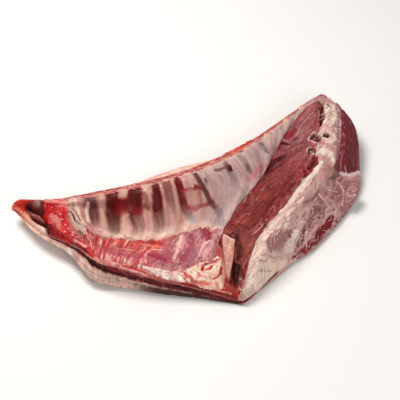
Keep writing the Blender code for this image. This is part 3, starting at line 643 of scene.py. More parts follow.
def paint_flank(meat):
    """Fascia over thin muscle, with the fat band, the peak's cut face and the near corner's fat."""
    here = ease((meat.along - 12.9) / 0.4)
    meat.lay("ad7f7e", here)
    meat.lay("c39a97", here * meat.blots(18, 101, 1.8, 0.1) * 0.75)
    meat.lay("935f62", here * meat.blots(14, 102, -1.8) * 0.6)
    weave = meat.fibres(42, 12, 2.4, 103) * 0.55 + meat.fibres(72, 9, 2.6, 105) * 0.55
    # painted shade between the weave's fibres
    meat.lay("7d4d50", here * ease(-weave * 3.0 - 0.35) * 0.75)
    meat.lay("e0bfba", here * ease(weave * 3.0 - 0.25) * 0.8)
    for turn, length, width, seed in ((48, 13, 5, 104), (20, 10, 5, 106), (78, 10, 6, 108)):
        thread = here * meat.threads(turn, length, width, seed, 0.12)
        meat.lay("ecd0ca", thread * 0.75)
        meat.rise += thread * 0.5
    meat.rise += here * (weave * 1.2 + meat.grain(14, 107) * 1.5)
    band = meat.stroke(FAT_BAND, (14, 17, 19, 17, 20, 24, 22, 20, 20, 22, 26, 30, 34, 34), 0.22, 0.45, 11)
    meat.lay("e0c8bd", here * band)
    meat.lay("f0e3d8", here * band * meat.blots(8, 109, 2.2, 0.2) * 0.85)
    meat.lay("c79f96", here * band * meat.blots(6, 111, 2.2, -0.4) * 0.75)
    meat.lay("d3a49c", here * band * meat.band(15.0, 16.6, 0.6) * meat.strip(2.2, 3.4, 0.4) * 0.6)
    meat.lay("b07a74", here * band * meat.threads(50, 16, 6, 112) * 0.55)
    meat.lay("b97f79", here * ease((meat.along - 15.7) / 0.3) * meat.strip(2.7, 4.1, 0.4) * 0.55)
    meat.rise += here * band * (2.8 + 1.6 * meat.grain(11, 113) + 1.0 * meat.grain(4, 115))
    corner = ((15.1, 0.25), (16.1, 0.4), (17, 0.7), (17.6, 1.05), (17.8, 1.3))
    near = meat.stroke(corner, (26, 34, 36, 26, 12), 0.25, 0.3, 12)
    meat.lay("dfc6ba", here * near * 0.95)
    meat.lay("eed9cd", here * near * meat.blots(7, 116, 2) * 0.7)
    meat.lay("c69f93", here * near * meat.blots(6, 117, 2.2, -0.3) * 0.7)
    meat.lay("b07c74", here * ease((14.3 - meat.along) / 0.5) * meat.strip(0.9, 3.2, 0.5) * 0.6)
    meat.lay("b28078", here * meat.band(13.5, 14.4, 0.3) * meat.strip(1.5, 3.0, 0.4) * 0.7)
    meat.lay("fff2e8", here * meat.band(14.9, 17.6, 0.6) * ease((0.9 - meat.across) / 0.5) * 0.75)
    meat.lay("f8dfd3", here * meat.band(15.2, 30, 0.8) * ease((1.7 - meat.across) / 0.6)
             * (0.55 + 0.3 * meat.grain(9, 118)))
    meat.lay("c58f84", here * ease((14.5 - meat.along) / 0.4) * ease((0.7 - meat.across) / 0.4) * 0.6)
    meat.rise += here * near * (0.8 + 1.2 * meat.grain(8, 123) + 0.5 * meat.grain(3, 124))
    meat.strokes(FLANK_DETAIL, here)
    crack = ridge(meat.grain(7, 119, 2), 0.06) * meat.blots(13, 121, 2, 0.2)
    meat.lay("7f665c", here * np.maximum(near, band * 0.5) * crack * 0.75)
    meat.rise -= here * near * crack * 0.8
    meat.strokes(TORN_EDGE, here)
    paint_holes(meat)
    meat.wet = np.where(here > 0.5, 0.35, meat.wet)


# Strokes where the diaphragm is torn from the fat band, which both of them carry.
TORN_EDGE = (
    # torn red flesh under the holes, with painted shade in the gap, and its pink frayed edge
    ("8d2830", 0.95, -1.4, (6, 10, 12, 9), 0.35, 0.6,
     ((15.4, 3.8), (15.5, 3.65), (15.1, 3.6), (15.5, 3.45))),
    ("5c1418", 0.8, -0.8, (3, 5, 4), 0.5, 0.6, ((15.1, 3.85), (15.2, 3.7), (14.9, 3.6))),
    ("bf6570", 0.85, 0.9, (2, 3, 3, 2), 0.5, 0.7, ((14.7, 3.7), (15.4, 3.5), (15.9, 3.35), (16.2, 3.25))),
    ("c98088", 0.8, 0.8, (2, 3, 2), 0.5, 0.7, ((15.2, 4.2), (15.7, 4.05), (16.3, 4))),
    ("efe2d6", 0.85, 0.8, (7, 11, 11, 8), 0.6, 0.8, ((15.5, 3.95), (16.1, 3.85), (16.5, 3.8), (16.8, 3.7))),
    # painted shade: a grey patch and a thin dark line beside the foot of the lobe's white rind
    ("8f7f7a", 0.75, -0.6, (4, 5, 4), 0.5, 0.6, ((17.1, 3.7), (17.1, 3.55), (17.1, 3.4))),
    ("7a5a56", 0.6, -0.5, (0.8, 2.0, 1.6, 0.8), 0.7, 0.8,
     ((16.9, 3.3), (17.1, 3.4), (17.3, 3.45), (17.5, 3.5))),
    # white strip down the diaphragm's root
    ("f0e2d8", 0.9, 1.2, (5, 7, 7, 6), 0.35, 0.5, ((16.1, 3.65), (16, 3.5), (15.9, 3.25), (15.7, 3.05))),
    ("e6d2c6", 0.9, 0.9, (5, 7, 8, 6), 0.4, 0.6, ((15.5, 3.3), (15.3, 3.1), (15.2, 2.85), (15.1, 2.55))),
    ("d8b2ac", 0.8, 0.5, (8, 10, 9), 0.5, 0.5, ((16.5, 3.4), (16.4, 3.15), (16.3, 2.9))),
)

# Strokes over the whole flank.
FLANK_DETAIL = (
    # the peak's flat cut, its thin dark seam and the furrow below it
    ("c29a95", 0.9, 0.6, (9, 13, 14, 9), 0.3, 0.3, ((13, 6.65), (14.8, 5.3), (15.8, 5.25), (18, 6.95))),
    ("e2cfc4", 0.9, 0.5, (5, 8, 8), 0.5, 0.5, ((15.3, 5.9), (16.3, 5.55), (18.3, 6.75))),
    ("9a6668", 0.8, 0, (6, 8, 6), 0.5, 0.6, ((12.4, 5.05), (13.6, 4.7), (14.4, 4.5))),
    ("6b4440", 0.9, -0.6, (1.2, 1.8, 1.6, 1), 0.4, 0.4, ((13, 5.1), (14.5, 4.9), (15.4, 4.9), (16, 4.9))),
    ("551c1e", 0.95, -2.0, (3, 5, 5, 4), 0.4, 0.5, ((14.3, 4.9), (14.8, 4.75), (15, 4.55), (14.9, 4.45))),
    ("dab6ae", 0.9, 0.8, (2, 2.4, 2), 0.5, 0.4, ((14.8, 4.65), (15.3, 4.65), (15.7, 4.6))),
    ("d8a79f", 0.8, 0.4, (3, 4, 3), 0.6, 0.5, ((15.3, 4.45), (16, 4.35), (16.6, 4.3))),
    # mauve flesh seen through the fat, and strands along it
    ("a87a7a", 0.85, -0.4, (9, 14, 12, 7), 0.4, 0.6,
     ((16.4, 1.25), (16.7, 1.45), (16.8, 1.7), (16.9, 1.85))),
    ("e9d5cc", 0.9, 1.0, (3, 4, 4, 3), 0.45, 0.5, ((12, 2), (14.2, 1.8), (15.4, 1.9), (15.8, 2.25))),
    ("eddbd2", 0.9, 1.0, (3, 4, 3), 0.45, 0.5, ((16.1, 2.3), (16.2, 2.6), (16.3, 2.9))),
    ("92786e", 0.6, -0.5, (0.8, 2.0, 1.6, 1.0), 0.6, 0.9,
     ((11.9, 1.75), (12.3, 1.85), (12.9, 1.9), (14.7, 1.5))),
    ("a3887c", 0.5, -0.3, (0.8, 1.3, 1), 0.6, 0.9, ((15.4, 1), (16.5, 0.95), (17.1, 1.1))),
    ("a3887c", 0.5, -0.3, (0.8, 1.3, 1), 0.6, 0.9, ((16, 1.05), (17.3, 1.1), (17.6, 1.25))),
    ("a3887c", 0.4, -0.3, (0.8, 1.2, 0.8), 0.6, 0.9, ((16.4, 0.6), (17.3, 0.75), (18.1, 0.95))),
    ("b9a097", 0.5, -0.2, (3, 5, 3), 0.8, 0.8, ((14.6, 0.05), (15.7, 0.08), (17.1, 0.1))),
    ("eccdc6", 0.85, 0.7, (1.4, 2, 1.4), 0.5, 0.5, ((16.4, 3.05), (16.9, 2.95), (17.4, 2.8), (17.7, 2.7))),
    ("efd6d0", 0.9, 0.8, (1.2, 1.8, 1.8, 1.2), 0.4, 0.4,
     ((17.4, 3.3), (17.7, 3.2), (17.9, 3.05), (18.1, 2.8))),
    ("e6c3be", 0.8, 0.6, (1, 1.6, 1), 0.5, 0.5, ((16.8, 3.15), (17.2, 3.1), (17.6, 3.1))),
    ("e6c3be", 0.8, 0.6, (1, 1.6, 1), 0.5, 0.5, ((17.3, 2.95), (17.7, 2.8), (18.2, 2.65))),
    ("e2bcb8", 0.8, 0.5, (1, 1.4, 1), 0.5, 0.5, ((16.6, 2.45), (16.8, 2.65), (17.1, 2.75))),
    ("e2bcb8", 0.8, 0.5, (1, 1.4, 1), 0.5, 0.5, ((17, 2.1), (17.2, 2.35), (17.4, 2.5))),
    ("9a6a6c", 0.7, -0.5, (1.4, 2, 1.4), 0.5, 0.6, ((17.2, 2.3), (17.3, 2.5), (17.3, 2.7))),
    ("9a6a6c", 0.7, -0.5, (1.4, 2, 1.4), 0.5, 0.6, ((16.5, 2.65), (16.7, 2.85), (16.8, 3.05))),
    ("b98a8a", 0.8, 0, (6, 8, 7), 0.5, 0.5, ((17.8, 3.25), (18, 3.1), (18.2, 2.9))),
    # white fat patch and the red muscle past the fascia's torn edge
    ("ecdccf", 0.9, 0.9, (4, 8, 10, 7), 0.4, 0.7, ((17.2, 2), (17.3, 1.85), (17.5, 1.65), (17.6, 1.5))),
    ("a08a80", 0.5, -0.3, (1.2, 1.6, 1.2), 0.6, 0.9, ((17.4, 1.9), (17.5, 1.8), (17.7, 1.65))),
    ("85262c", 0.95, -1.0, (3, 7, 7, 5), 0.3, 0.7, ((18.1, 2.55), (18.1, 2.45), (18.1, 2.3), (18.1, 2.15))),
    ("a53a42", 0.7, 0, (2, 3, 2), 0.5, 0.8, ((18.1, 2.5), (18.1, 2.35), (18.1, 2.25))),
    ("8f2f38", 0.92, -0.8, (4, 6, 6, 4, 2), 0.35, 0.7,
     ((18.2, 2.15), (18.2, 2), (18.2, 1.85), (18.2, 1.75), (18.1, 1.5))),
    ("e2b4b0", 0.9, 0.9, (1.6, 2.4, 2, 2, 1.4), 0.4, 0.6,
     ((18.1, 2.65), (17.8, 2.55), (17.9, 2.4), (17.8, 2.2), (17.9, 2))),
    ("dcaeac", 0.85, 0.7, (1.4, 2, 1.4), 0.4, 0.6, ((17.9, 2), (18, 1.8), (18, 1.65))),
    ("d7bcb2", 0.85, 0.5, (1.6, 2.2, 1.6), 0.5, 0.4, ((17.6, 1.05), (17.9, 1.35), (18.1, 1.6))),
)


def paint_lobe(meat):
    """Smooth dark-red muscle on the flank's far corner, under a thin white rind at its foot."""
    lobe = meat.band(16.95, 30, 0.2) * meat.strip(3.55, 9, 0.12)
    meat.lay("893a40", lobe)
    # painted highlights in the lighter blots and painted shade in the darker ones
    meat.lay("9c4c4e", lobe * meat.blots(14, 141, 2.0) * 0.7)
    meat.lay("6c2629", lobe * meat.blots(9, 143, 2.0, -0.2) * 0.6)
    meat.lay("a24c50", lobe * ease((meat.across - 5.2) / 1.2) * 0.6)
    meat.lay("8f4246", lobe * meat.threads(80, 24, 5, 144, 0.2) * 0.35)
    border = 17.12 + 0.16 * grain(meat.across * 7, meat.across * 0, 1.0, 145)
    edge = ridge(meat.along - border, 0.3)
    edge *= meat.strip(3.6, 5.6, 0.2)
    meat.lay("943a4e", edge * 0.6)
    meat.lay("e0a0a8", edge * meat.flecks(2.6, 147, 0.6) * 0.9)
    meat.rise += lobe * (1.4 + 0.6 * meat.grain(12, 148)) + edge * meat.grain(2.6, 147) * 1.0
    meat.strokes((
        ("ecd3ce", 0.97, 1.2, (3, 4, 5, 5, 4), 0.35, 0.6,
         ((17.4, 3.5), (17.7, 3.5), (17.9, 3.5), (18.2, 3.6), (18.5, 3.7))),
        ("d9a3a6", 0.85, 0.6, (3, 4, 3), 0.5, 0.6, ((17.6, 3.4), (18, 3.45), (18.4, 3.55))),
        ("e9c6c4", 0.9, 0.8, (1.4, 2, 1), 0.4, 0.6, ((17.7, 3.5), (17.6, 3.6), (17.5, 3.7))),
        ("e9c6c4", 0.9, 0.8, (1.4, 1.6, 1), 0.4, 0.6, ((18.4, 3.65), (18.4, 3.75))),
        ("c9848a", 0.8, 0.4, (1.4, 1.8, 1), 0.5, 0.6, ((17.3, 3.6), (17.2, 3.75), (17.2, 3.95))),
    ))


def inner_side(along, across):
    """The whole inner side at once, so that tissues match where two pieces meet."""
    meat = Meat(along, across, "b97a72")
    level = skin(along, across)[:, 2]
    edge = skin(along, np.minimum(across, 6.0))[:, 2]
    low = underside(along, across, level)
    brow = skin(along, np.maximum(across, 1.5))[:, 2]
    meat.v = meat.y + 1.5 * np.maximum(edge - level, 0.0)
    meat.v = meat.v - 1.2 * np.maximum(brow - level, 0.0) * ease((along - 13.5) / 0.5)
    meat.u = meat.x + 0.9 * (level - low) * end_rounding(along)
    meat.rise += rib_relief(meat)
    paints = (paint_wall, paint_cage_edge, paint_breastbone, paint_fold, paint_neck, paint_marrow,
              paint_flank, paint_lobe, paint_rim)
    for paint in paints:
        paint(meat)
    lip = lip_share(along, across)
    meat.lay("e3b3a8", lip)
    meat.lay("ecd6ca", lip * ease((along + 1.5) / 0.6 + 0.5 * meat.grain(7, 154)))
    meat.lay("cf8e84", lip * meat.blots(5, 155, 2, -0.3) * 0.6)
    meat.lay("d67a6c", lip * meat.band(-9, -1.8, 0.4) * 0.8)
    meat.rise = meat.rise * (1 - lip) + lip * meat.grain(6, 156) * 0.6
    meat.rise += meat.grain(6, 151) * 0.25
    meat.speckle(0.5)
    return meat


def end_rounding(along):
    """How far the block's two ends fall away: 0 on top, 1 at the very ends."""
    end = np.clip((along - 18.2) / 0.3, 0, 1)
    tip = np.clip((-2.12 - along) / 0.18, 0, 1)
    return 1 - np.sqrt(1 - np.minimum(np.maximum(end, tip), 1.0) ** 2 + 1e-9)


def surface(along, across):
    """Points of the detailed inner side, with its edges rounded, and its colours."""
    points = skin(along, across)
    meat = inner_side(along, across)
    fade = ease(across / 0.35) * ease((7.05 - across) / 0.4)
    points[:, 2] += meat.rise * (0.35 + 0.65 * fade)
    points[:, 2] -= 2.6 * (1 - np.sqrt(1 - np.clip(1 - across / 0.28, 0, 1) ** 2 + 1e-9))
    low = underside(along, across, points[:, 2])
    points[:, 2] -= (points[:, 2] - low) * 0.8 * end_rounding(along)
    return points, meat


# ------------------------------------------------------------------ meshes


def wet_tones(colour):
    """Each point's colour as linear light, deepened by its moist film, with full opacity."""
    rgba = np.ones((len(colour), 4), np.float32)
    rgba[:, :3] = WET_GAIN * linear(np.clip(colour, 0, 1)) ** WET_DEPTH
    return rgba.ravel()


def add_object(name, data):
    """A new object in the scene that holds a mesh, a lamp or a camera."""
    thing = bpy.data.objects.new(name, data)
    bpy.context.scene.collection.objects.link(thing)
    return thing


def mesh_object(name, points, faces, colour, wet):
    """A closed piece in metres that faces outward and carries its tissue colours."""
    points = (np.asarray(points, float) - BOX_MIDDLE) * MM
    mesh = bpy.data.meshes.new(name)
    mesh.from_pydata(points.tolist(), [], faces)
    tint = mesh.color_attributes.new("tissue", "FLOAT_COLOR", "POINT")
    tint.data.foreach_set("color", wet_tones(colour))
    moist = mesh.attributes.new("wet", "FLOAT", "POINT")
    moist.data.foreach_set("value", np.asarray(wet, np.float32))
    mesh.polygons.foreach_set("use_smooth", np.array([len(face) == 4 for face in faces]))
    return add_object(name, mesh)


def loft(name, rings, colour, wet):
    """A piece through closed rings of points: an array of (ring, point, xyz)."""
    count, size = rings.shape[:2]
    i, k = np.meshgrid(np.arange(count - 1), np.arange(size), indexing="ij")
    n = (k + 1) % size
    corners = [i * size + k, i * size + n, (i + 1) * size + n, (i + 1) * size + k]
    quads = np.stack(corners, axis=-1).reshape(-1, 4)
    a, b, c, d = (rings.reshape(-1, 3)[quads[:, m]] for m in range(4))
    volume = np.einsum("ij,ij->i", np.cross(a, b), c).sum() + np.einsum("ij,ij->i", np.cross(a, c), d).sum()
    faces = quads.tolist()
    faces.append(list(range(size))[::-1])
    faces.append([(count - 1) * size + m for m in range(size)])
    if volume < 0:
        faces = [face[::-1] for face in faces]
    return mesh_object(name, rings.reshape(-1, 3), faces, colour.reshape(-1, 3), wet.ravel())


def grid_of(alongs, acrosses):
    """Every pairing of the places along and across, as two flat arrays."""
    along, across = np.meshgrid(alongs, acrosses, indexing="ij")
    return along.ravel(), across.ravel()


# ------------------------------------------------------------------ the blocks and the outer fat

# How far the outer fat swells out under the split face, in mm, along it.
FAT_SWELL = ((-2.3, 0.0), (-1.9, 1.0), (-1.4, 3.2), (-0.8, 3.6), (-0.2, 2.0), (0.3, 4.5), (0.8, 8.5),
             (1.3, 9.0), (1.9, 6.5), (2.6, 4.2), (3.4, 2.0), (4.4, 0.6), (5.5, 0.0), (18.5, 0.0))

# Layers of the split face: places are (along, share of its height).
SPLIT_LAYERS = (
    ("570812", 0.9, -0.5, (5, 9, 9, 8, 6, 5, 3), 0.4, 0.6,
     ((0.5, 0.8), (1.6, 0.7), (3.2, 0.72), (4.6, 0.74), (6.2, 0.64), (7.6, 0.68), (9.6, 0.6))),
    ("96202c", 0.9, 0.4, (5, 7, 6), 0.4, 0.6, ((2.62, 0.72), (3.1, 0.72), (3.55, 0.76))),
    ("8c1a25", 0.9, 0.4, (5, 6, 4), 0.4, 0.6, ((3.85, 0.74), (4.3, 0.72), (4.9, 0.74))),
    ("7c1c22", 0.8, 0.3, (3, 5, 3), 0.5, 0.7, ((5.2, 0.66), (5.9, 0.62), (6.6, 0.62))),
    ("d39c92", 0.7, 0.5, (0.8, 3.2, 1.4, 2.6, 0.6), 0.8, 1.0,
     ((1.84, 0.6), (1.94, 0.8), (2.15, 0.86), (2.35, 0.74))),
    ("b8686a", 0.6, 0.2, (3, 5, 3), 0.8, 1.0, ((1.95, 0.6), (2.2, 0.62), (2.4, 0.56))),
    ("dfb2a8", 0.7, 0.4, (0.6, 2.4, 1.0), 0.7, 0.8, ((3.66, 0.52), (3.74, 0.7), (3.68, 0.92))),
    ("c98a82", 0.6, 0.3, (0.6, 2.0, 0.8), 0.7, 0.8, ((5.02, 0.52), (5.06, 0.66), (4.98, 0.82))),
    ("ecbcb4", 0.8, 0.6, (0.6, 3.0, 1.0, 2.0, 0.4), 0.7, 1.0,
     ((0.7, 0.98), (1.3, 0.93), (1.9, 0.96), (2.7, 0.94))),
    ("d2767a", 0.8, 0.3, (2, 3, 2), 0.6, 0.8, ((0.2, 0.9), (0.8, 0.84), (1.5, 0.86))),
    ("c22c38", 0.9, -0.2, (1.2, 2.2, 2.0, 1.2), 0.5, 0.6,
     ((3.2, 0.9), (4.0, 0.9), (4.9, 0.88), (5.8, 0.84))),
    ("ebc2ba", 0.7, 0.4, (0.4, 2.2, 0.6, 2.0, 0.4), 0.8, 1.0,
     ((4.3, 0.83), (5.1, 0.82), (5.9, 0.78), (6.7, 0.78))),
    ("d98c88", 0.6, 0.3, (0.5, 2.4, 0.7, 2.0, 0.5), 0.8, 1.0, ((6.4, 0.9), (7.6, 0.86), (8.8, 0.84))),
    ("e2ab9e", 0.65, 0.5, (0.4, 2.8, 0.8, 2.4, 0.5, 2.2, 0.4), 0.8, 1.0,
     ((0.9, 0.46), (2.0, 0.44), (3.2, 0.5), (4.4, 0.5), (5.6, 0.46))),
    ("3f060c", 0.7, -0.5, (0.6, 3.0, 1.0, 2.4, 0.6), 0.7, 1.0,
     ((0.9, 0.58), (2.5, 0.56), (3.6, 0.6), (4.8, 0.58))),
    ("96695c", 0.5, 0.4, (0.4, 2.4, 0.6, 2.2, 0.4), 0.8, 1.0,
     ((6.0, 0.42), (7.4, 0.44), (9.0, 0.42), (10.6, 0.46))),
    ("c4776e", 0.6, 0.3, (0.4, 2.0, 0.6, 1.6, 0.4), 0.8, 1.0, ((8.6, 0.72), (10.2, 0.76), (11.8, 0.8))),
)


def paint_near_face(along, share, fat_share):
    """Colours of the split face: outer fat below, then the breastbone's dark marrow and a pink edge, with
    painted shade along its foot and over its far part.
    """
    meat = Meat(along, np.zeros(len(along)), "dcbcb1")
    meat.face = np.array((RIB_PITCH, SPLIT_HEIGHT))
    meat.x, meat.y = along * RIB_PITCH, share * SPLIT_HEIGHT
    meat.u, meat.v = meat.x, meat.y
    meat.lay("ead0c4", meat.blots(9, 201, 1.6, 0.1) * 0.8)
    meat.lay("bd958a", meat.blots(7, 202, -1.8, -0.1) * 0.6)
    # painted shade: darker along the foot of the face
    meat.lay("a07f72", ease((0.16 - share) / 0.16) * 0.7)
    meat.lay("c9807a", ridge(share - 0.3, 0.06) * meat.blots(12, 204, 2, -0.2) * 0.5)
    # painted shade: dark brown over the fat and its lowest part toward the flank
    meat.lay("523429", meat.band(5.0, 14, 2.4) * ease((fat_share - share) / 0.1 + 0.5) * 0.92)
    meat.lay("4c3129", meat.band(7.0, 14, 2.0) * ease((0.3 - share) / 0.1) * 0.6)
    border = np.interp(along, (-0.7, 0.5, 2.5, 4.0, 6.0, 9.0, 13.0),
                       (0.56, 0.56, 0.52, 0.52, 0.46, 0.40, 0.40))
    border = np.maximum(border, fat_share * meat.band(-9, -0.7, 0.1))
    border = border + 0.06 * grain(meat.x, 0 * meat.x, 9.0, 205)
    lean = ease((share - border) / 0.07 + 0.5) * meat.band(-0.75, 30, 0.2)
    streak = grain(meat.x / 11.0, meat.y / 2.2, 1.0, 206)
    meat.lay("842030", lean)
    meat.lay("9d2c34", lean * ease(streak * 2.2) * 0.8)
    meat.lay("47060c", lean * ease(-streak * 2.2 - 0.1) * 0.8)
    meat.lay("d07c7a", lean * meat.flecks(2.8, 207, 0.62) * 0.8 * meat.band(-0.6, 6.5, 1.5))
    # painted shade: brown blots over the marrow toward the flank
    meat.lay("5f3a30", lean * meat.band(6.6, 12.9, 1.2) * meat.blots(4, 208, -1, 0.5) * 0.6)
    top = ease((share - 0.88 + 0.04 * meat.grain(6, 209)) / 0.06)
    meat.lay("d98684", top * lean * 0.9)
    meat.lay("efbeb6", top * lean * meat.flecks(3, 210, 0.6) * 0.8)
    meat.rise = meat.grain(9, 211) * 1.0 + meat.grain(3, 212) * 0.4 + streak * 0.5 * lean
    meat.strokes(SPLIT_LAYERS, lean)
    meat.lay("e6bdb0", meat.band(-9, -0.7, 0.25) * ease((share - 0.2) / 0.3) * 0.8)
    meat.lay("f0dccf", meat.band(-1.5, 0.6, 0.5) * ease((0.62 - share) / 0.2) * meat.blots(8, 213, 2, 0.4)
             * 0.8)
    meat.lay("cf7f6c", meat.band(-9, -1.7, 0.3) * 0.75)
    meat.lay("c9453c", meat.band(-9, -2.0, 0.2) * 0.7)
    meat.lay("dfa860", meat.band(-1.85, -1.5, 0.15) * ease(1 - abs(share - 0.7) / 0.4) * 0.8)
    meat.speckle()
    return meat


def near_face(alongs, shares, fat_share):
    """Points and colours of the cut face at shares of its height, given for each station."""
    n, m = shares.shape
    top, _ = surface(alongs, np.zeros(n))
    inside = skin(alongs, np.full(n, 0.9))
    low = underside(alongs, np.zeros(n), top[:, 2])
    outward = unit(top[:, :2] - inside[:, :2])
    height = top[:, 2] - low
    meat = paint_near_face(np.repeat(alongs, m), shares.ravel(), np.repeat(fat_share, m))
    size = np.clip(height / SPLIT_HEIGHT, 0.3, 1.0)[:, None]
    settle = np.clip((1 - shares) / 0.05, 0, 1)
    fat = 3.2 * np.sin(math.pi * np.clip(shares / 0.42, 0, 1)) ** 0.7
    tuck = 2.0 * np.clip(1 - shares / 0.16, 0, 1) ** 2
    lean = 1.6 * np.sin(math.pi * np.clip((shares - 0.42) / 0.5, 0, 1)) ** 0.8
    out = (fat - tuck - lean + meat.rise.reshape(n, m)) * size * settle
    swell = np.interp(alongs, *zip(*FAT_SWELL))[:, None]
    uneven = 1 + 0.12 * grain(alongs * 3, alongs * 0, 1.0, 219)[:, None]
    out += swell * ease((0.66 - shares) / 0.36) * uneven
    points = np.empty((n, m, 3))
    points[:, :, :2] = top[:, None, :2] + outward[:, None] * out[..., None]
    points[:, :, 2] = low[:, None] + height[:, None] * shares
    return points, meat


def close_tip(rings, alongs):
    """Draws the last rings of the neck's end together to a blunt fleshy point."""
    t = np.clip((-1.95 - alongs) / 0.35, 0.0, 1.0)
    middle = skin(alongs, np.full(len(alongs), 3.0))
    middle[:, 2] = 0.55 * middle[:, 2] + 3.0
    way = middle[0] - middle[-1]
    way[2] = 0.0
    way /= np.linalg.norm(way)
    keep = np.sqrt(1 - 0.93 * t**2)[:, None, None]
    return middle[:, None] + (rings - middle[:, None]) * keep + way * (4.5 * t**2)[:, None, None]


def outer_colour(along, across, height):
    """The outer fat with its dry thin fell, faintly veined."""
    meat = Meat(along, across, "ddbfb3")
    meat.v = meat.y - height * 1.5
    meat.lay("eed9cc", meat.blots(16, 221, 1.6) * 0.75)
    meat.lay("c79a90", meat.blots(14, 222, -1.8, -0.1) * 0.6)
    meat.lay("a8524e", meat.blots(26, 223, 2.5, -1.0) * 0.65)
    meat.lay("8e3c3c", meat.blots(30, 224, 2.5, -1.3) * meat.threads(20, 30, 5, 225) * 0.6)
    meat.lay("b4645f", meat.threads(35, 40, 16, 226, 0.05) * 0.5)
    meat.lay("b4645f", meat.threads(-50, 36, 14, 227, 0.04) * 0.4)
    meat.speckle()
    return meat


def fat_share_of(alongs):
    """Share of the near face's height that is outer fat."""
    top = skin(alongs, np.zeros(len(alongs)))[:, 2]
    low = underside(alongs, np.zeros(len(alongs)), top)
    share = (fat_height(np.zeros(len(alongs)), low, top) - low) / (top - low)
    return share + (1 - share) * lip_share(alongs, np.zeros(len(alongs)))


def block(name, alongs, acrosses, near=False, far=False):
    """A piece of the meat: detailed above, with its cut faces, and a plain side against the outer fat."""
    n = len(alongs)
    along, across = grid_of(alongs, acrosses)
    top, meat = surface(along, across)
    parts = [top.reshape(n, -1, 3)]
    tints = [meat.colour.reshape(n, -1, 3)]
    wets = [meat.wet.reshape(n, -1)]
    if far:
        add_far_face(alongs, parts, tints, wets, 0.45)
    few = np.linspace(acrosses[-1], acrosses[0], 7)
    along, across = grid_of(alongs, few)
    base = skin(along, across)
    low = underside(along, across, base[:, 2])
    base[:, 2] = fat_height(across, low, base[:, 2]) - 0.2
    if far:
        base = base.reshape(n, -1, 3)[:, 1:].reshape(-1, 3)
    parts.append(base.reshape(n, -1, 3))
    tints.append(np.broadcast_to(tone("9a4a44"), (n, parts[-1].shape[1], 3)))
    wets.append(np.full(parts[-1].shape[:2], 0.5))
    if far:
        tints[-1] = np.array(tints[-1])
        tints[-1][:, :3] = tints[-2][:, -1:]
    if near:
        fat_share = fat_share_of(alongs)
        shares = fat_share[:, None] + (1 - fat_share[:, None]) * np.linspace(0.0, 1.0, 30)[None, :-1]
        face, cut = near_face(alongs, shares, fat_share)
        parts[-1] = parts[-1][:, :-1]
        tints[-1], wets[-1] = tints[-1][:, :-1], wets[-1][:, :-1]
        parts.append(face)
        tints.append(cut.colour.reshape(n, -1, 3))
        wets.append(np.full(face.shape[:2], 0.5))
    rings = np.concatenate(parts, 1)
    if alongs[0] < -1.0:
        rings = close_tip(rings, alongs)
    return loft(name, rings, np.concatenate(tints, 1), np.concatenate(wets, 1))


def add_far_face(alongs, parts, tints, wets, lowest, steps=16):
    """The rounded outer wall beyond the rim, down to a share of its height."""
    n = len(alongs)
    edge = parts[-1][:, -1]
    before = skin(alongs, np.full(n, 6.0))
    outward = unit(edge[:, :2] - before[:, :2])
    low = underside(alongs, np.full(n, 7.0), edge[:, 2])
    shares = np.linspace(1.0, lowest, steps)[1:]
    swell = 2.4 * np.sin(math.pi * np.clip(1 - shares, 0, 1)) ** 0.8
    swell = swell - 2.0 * np.clip(1 - shares / 0.2, 0, 1) ** 2
    wall = np.empty((n, len(shares), 3))
    wall[:, :, :2] = edge[:, None, :2] + outward[:, None] * swell[None, :, None]
    wall[:, :, 2] = low[:, None] + (edge[:, None, 2] - low[:, None]) * shares
    along = np.repeat(alongs, len(shares))
    meat = outer_colour(along, np.full(len(along), 7.0), wall[:, :, 2].ravel())
    parts.append(wall)
    tints.append(meat.colour.reshape(n, -1, 3))
    wets.append(np.full(wall.shape[:2], 0.3))


def outer_fat():
    """The fat cover under everything: the foot of the near face, the neck's lip and the outer side."""
    alongs = stations(-2.3, 18.5, 0.04)
    n = len(alongs)
    fat_share = fat_share_of(alongs)
    shares = fat_share[:, None] * np.linspace(0.0, 1.0, 26)[None, :]
    face, cut = near_face(alongs, shares, fat_share)
    last = 5.7 + 1.3 * ease((alongs - 12.85) / 0.3)
    inner = np.concatenate([np.linspace(0.0, 1.2, 14)[1:], [2, 3, 4, 5, 5.7]]) / 5.7
    across = (inner[None] * last[:, None]).ravel()
    across = np.where(across < 1.3, np.repeat(inner[None] * 5.7, n, 0).ravel(), across)
    along = np.repeat(alongs, len(inner))
    top, meat = surface(along, across)
    flat = skin(along, across)
    low = underside(along, across, flat[:, 2])
    plain = fat_height(across, low, flat[:, 2]) - 0.3
    lip = lip_share(along, across)
    top[:, 2] = plain + (top[:, 2] - plain) * lip
    few = np.linspace(1.0, 0.0, 12)
    across_low = (few[None] * last[:, None]).ravel()
    along_low = np.repeat(alongs, len(few))
    base = skin(along_low, across_low)
    base[:, 2] = underside(along_low, across_low, base[:, 2])
    base = base.reshape(n, -1, 3)[:, :-1]
    below = outer_colour(along_low, across_low, np.zeros(len(along_low))).colour.reshape(n, -1, 3)[:, :-1]
    rings = np.concatenate([face, top.reshape(n, -1, 3), base], 1)
    outer = outer_colour(along, across, np.zeros(len(along))).colour
    inward = meat.colour + (outer - meat.colour) * ease((across - 4.5) / 0.5)[:, None]
    colours = np.concatenate([cut.colour.reshape(n, -1, 3), inward.reshape(n, -1, 3), below], 1)
    return loft("outer_fat_cover", close_tip(rings, alongs), colours, np.full(rings.shape[:2], 0.35))


def stations(first, last, step):
    """Places along the meat, evenly about `step` rib pitches apart."""
    return np.linspace(first, last, int(round((last - first) / step)) + 1)


